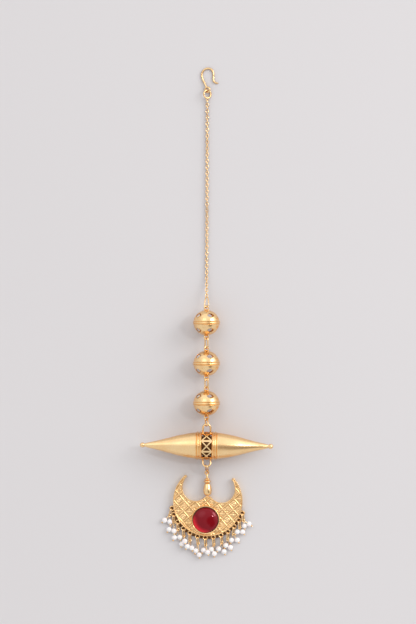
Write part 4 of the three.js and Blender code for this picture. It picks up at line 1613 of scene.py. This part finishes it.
def towards(degrees):
    """The direction on the table at an angle from straight down."""
    angle = math.radians(degrees)
    return Vector((math.sin(angle), -math.cos(angle), 0))


def fringe_places(sizes, crescent_radius):
    """Both ends of every fringe link, and the eye and pearl of every drop."""
    links, drops = [], []
    for at, link, left, right in STATIONS:
        start = rim_place(sizes, crescent_radius, at) + towards(link) * sizes.inset
        end = start + towards(link) * sizes.link_length
        links.append((end, start))
        upper = -1 if left[2] else 1
        for side, (lie, reach, lift) in ((-upper, left), (upper, right)):
            eye = end + towards(link) * LINK_END + Z_AXIS * side * PIN_SPREAD
            pearl = eye + towards(lie) * reach * MM
            pearl.z = PEARL_HEIGHT + lift * MM
            drops.append((eye, pearl, reach * MM))
    return links, drops


class TIKKA_OT_fringe(BuildPiece, bpy.types.Operator):
    """Add the fringe: long links, headpins and pearls"""

    bl_idname = "tikka.fringe"
    bl_label = "Pearl Fringe"

    def build(self, tikka):
        sizes = tikka.fringe
        gold, pearl = wire_gold(tikka.finish), pearl_lustre(tikka.finish)
        links, drops = fringe_places(sizes, tikka.crescent.radius)
        path = ring_path(sizes.link_radius, sizes.link_length - 2 * sizes.link_radius, count=24)
        link = wire(path, sizes.link_wire, closed=True, sides=10)
        seats = [seat((a + b) / 2, b - a, FRINGE_LINK_ROLL) for a, b in links]
        nodes = [f"fringe_link_{i + 1:02}" for i in range(len(links))]
        finished("fringe_links", copies(link, seats, gold), gold, nodes)
        size = (1, PEARL_SQUASH, 1)
        seats = [seat(at, eye - at, 35 * i, size) for i, (eye, at, _) in enumerate(drops)]
        nodes = [f"pearl_drop_{i + 1:02}" for i in range(len(drops))]
        pearls = copies(sphere(sizes.pearl, 16, 24), seats, pearl)
        finished("pearls", pearls, pearl, nodes)
        self.build_pins(sizes, drops, gold)

    def build_pins(self, sizes, drops, gold):
        """Every headpin: its eye, its shank through the pearl and its ball end."""
        eyes, shanks, balls = [], [], []
        for at, spot, reach in drops:
            down = (spot - at).normalized()
            end = reach + sizes.overhang
            size = (sizes.pin, end - sizes.eye, sizes.pin)
            eyes.append(seat(at, at - spot))
            shanks.append(seat(at + down * sizes.eye, down, size=size))
            balls.append(seat(at + down * end, down))
        eye = wire(ring_path(sizes.eye, count=18), sizes.eye_wire, closed=True, sides=8)
        finished("headpin_eyes", copies(eye, eyes, gold), gold)
        shank = cylinder(0.5, 0, 1, 8)
        finished("headpin_shanks", copies(shank, shanks, gold), gold)
        ball = sphere(sizes.pin_end, 8, 12)
        finished("headpin_balls", copies(ball, balls, gold), gold)


# ---- the stage ---------------------------------------------------------------


def table_material(settings):
    """Plain pale paper with the faintest mottling."""

    def paint(graph, place):
        mottle = graph.noise(place, 0.12, 2.0)
        tooth = graph.noise(place, 0.6 * MM, 2.0)
        pale = tuple(settings.table)
        dim = tuple(c * 0.985 for c in settings.table)
        return {"Base Color": graph.mix(mottle, pale, dim), "Normal": bump(graph, tooth, 0.01 * MM)}

    return new_material("table_paper", {"Roughness": 0.85, "Specular IOR Level": 0.2}, paint)


def studio_world(strength):
    """Soft light all round: brighter towards the hook, in a window low on the right and in a
    ceiling patch, with two darker, warmer patches overhead and to the lower right."""
    world = bpy.data.worlds.new("studio")
    bpy.context.scene.world = world
    world.use_nodes = True
    graph = Graph(world.node_tree)
    way = graph.node("ShaderNodeTexCoord", output="Generated")

    def facing(direction, near, far):
        """1 close to a direction and 0 away from it; near and far are cosines."""
        return graph.ramp(graph.dot(way, Vector(direction).normalized()), far, near)

    upper = facing((0, 0.85, 0.4), 0.9, 0.5)
    window = facing((0.85, 0.47, 0.25), 0.97, 0.8)
    ceiling = facing((-0.33, 0.45, 0.83), 0.99, 0.92)
    overhead = facing((0.38, -0.12, 0.92), 0.975, 0.93)
    lower_right = facing((0.55, -0.38, 0.75), 0.985, 0.94)
    dark = graph.larger(overhead, lower_right)
    light = 0.86 + upper * 0.3 + window * 0.9 + ceiling * 0.75 - dark * 0.55
    tint = graph.mix(dark, (1.0, 0.99, 1.0), (1.0, 0.82, 0.66))
    background = world.node_tree.nodes["Background"]
    world.node_tree.links.new(tint.socket, background.inputs["Color"])
    world.node_tree.links.new((light * strength).socket, background.inputs["Strength"])


KEY_LIGHT = {"place": (0.95, 0.5, 0.62), "size": (0.5, 0.5), "share": 1.0}
CATCH_LIGHT = {"place": (0.64, 0.2, 0.88), "size": (0.07, 0.14), "share": 0.34}
TABLE_HALF = 1.6


def area_light(name, light, power):
    """A rectangular light that faces the middle of the jewel, with its share of the power."""
    place = light["place"]
    data = bpy.data.lights.new(name, "AREA")
    data.shape = "RECTANGLE"
    data.size, data.size_y = light["size"]
    data.energy = power * light["share"]
    lamp = bpy.data.objects.new(name, data)
    lamp.location = place
    lamp.rotation_euler = (-Vector(place)).to_track_quat("-Z", "Y").to_euler()
    bpy.context.scene.collection.objects.link(lamp)


class TIKKA_OT_stage(BuildPiece, bpy.types.Operator):
    """Set the pale table, the soft light and the camera"""

    bl_idname = "tikka.stage"
    bl_label = "Table, Light and Camera"

    def build(self, tikka):
        sizes = tikka.stage
        signs = [(-1, -1), (1, -1), (1, 1), (-1, 1)]
        corners = [(x * TABLE_HALF, y * TABLE_HALF, 0) for x, y in signs]
        mesh = Shape(corners, [(0, 1, 2, 3)]).mesh("table")
        mesh.materials.append(table_material(sizes))
        table = bpy.data.objects.new("table", mesh)
        bpy.context.scene.collection.objects.link(table)
        studio_world(sizes.sky)
        area_light("key_light", KEY_LIGHT, sizes.key)
        area_light("catch_light", CATCH_LIGHT, sizes.key)
        lens = bpy.data.cameras.new("camera")
        lens.lens = sizes.lens
        lens.sensor_width = 36
        lens.clip_start, lens.clip_end = 0.01, 20
        camera = bpy.data.objects.new("camera", lens)
        camera.location = (*sizes.aim, sizes.distance)
        bpy.context.scene.collection.objects.link(camera)
        bpy.context.scene.camera = camera
        bpy.context.scene.view_settings.view_transform = "Standard"


# ---- the add-on --------------------------------------------------------------

BUILDERS = [
    TIKKA_OT_stage,
    TIKKA_OT_hook,
    TIKKA_OT_chain,
    TIKKA_OT_balls,
    TIKKA_OT_spindle,
    TIKKA_OT_links,
    TIKKA_OT_crescent,
    TIKKA_OT_beads,
    TIKKA_OT_stone,
    TIKKA_OT_fringe,
]


class TIKKA_PT_panel(bpy.types.Panel):
    """Lists the jewel's pieces in the sidebar"""

    bl_idname = "TIKKA_PT_panel"
    bl_label = "Maang Tikka"
    bl_space_type = "VIEW_3D"
    bl_region_type = "UI"
    bl_category = "Tikka"

    def draw(self, context):
        for builder in BUILDERS:
            self.layout.operator(builder.bl_idname, text=builder.bl_label)


SETTINGS = [
    HookSettings,
    ChainSettings,
    BallSettings,
    SpindleSettings,
    LinkSettings,
    CrescentSettings,
    StoneSettings,
    FringeSettings,
    FinishSettings,
    StageSettings,
    TikkaSettings,
]


def register():
    for item in (*SETTINGS, *BUILDERS, TIKKA_PT_panel):
        bpy.utils.register_class(item)
    bpy.types.Scene.tikka = PointerProperty(name="Maang tikka", type=TikkaSettings)


def unregister():
    del bpy.types.Scene.tikka
    for item in reversed((*SETTINGS, *BUILDERS, TIKKA_PT_panel)):
        bpy.utils.unregister_class(item)


def main():
    register()
    for builder in BUILDERS:
        group, name = builder.bl_idname.split(".")
        getattr(getattr(bpy.ops, group), name)()


if __name__ == "__main__":
    main()
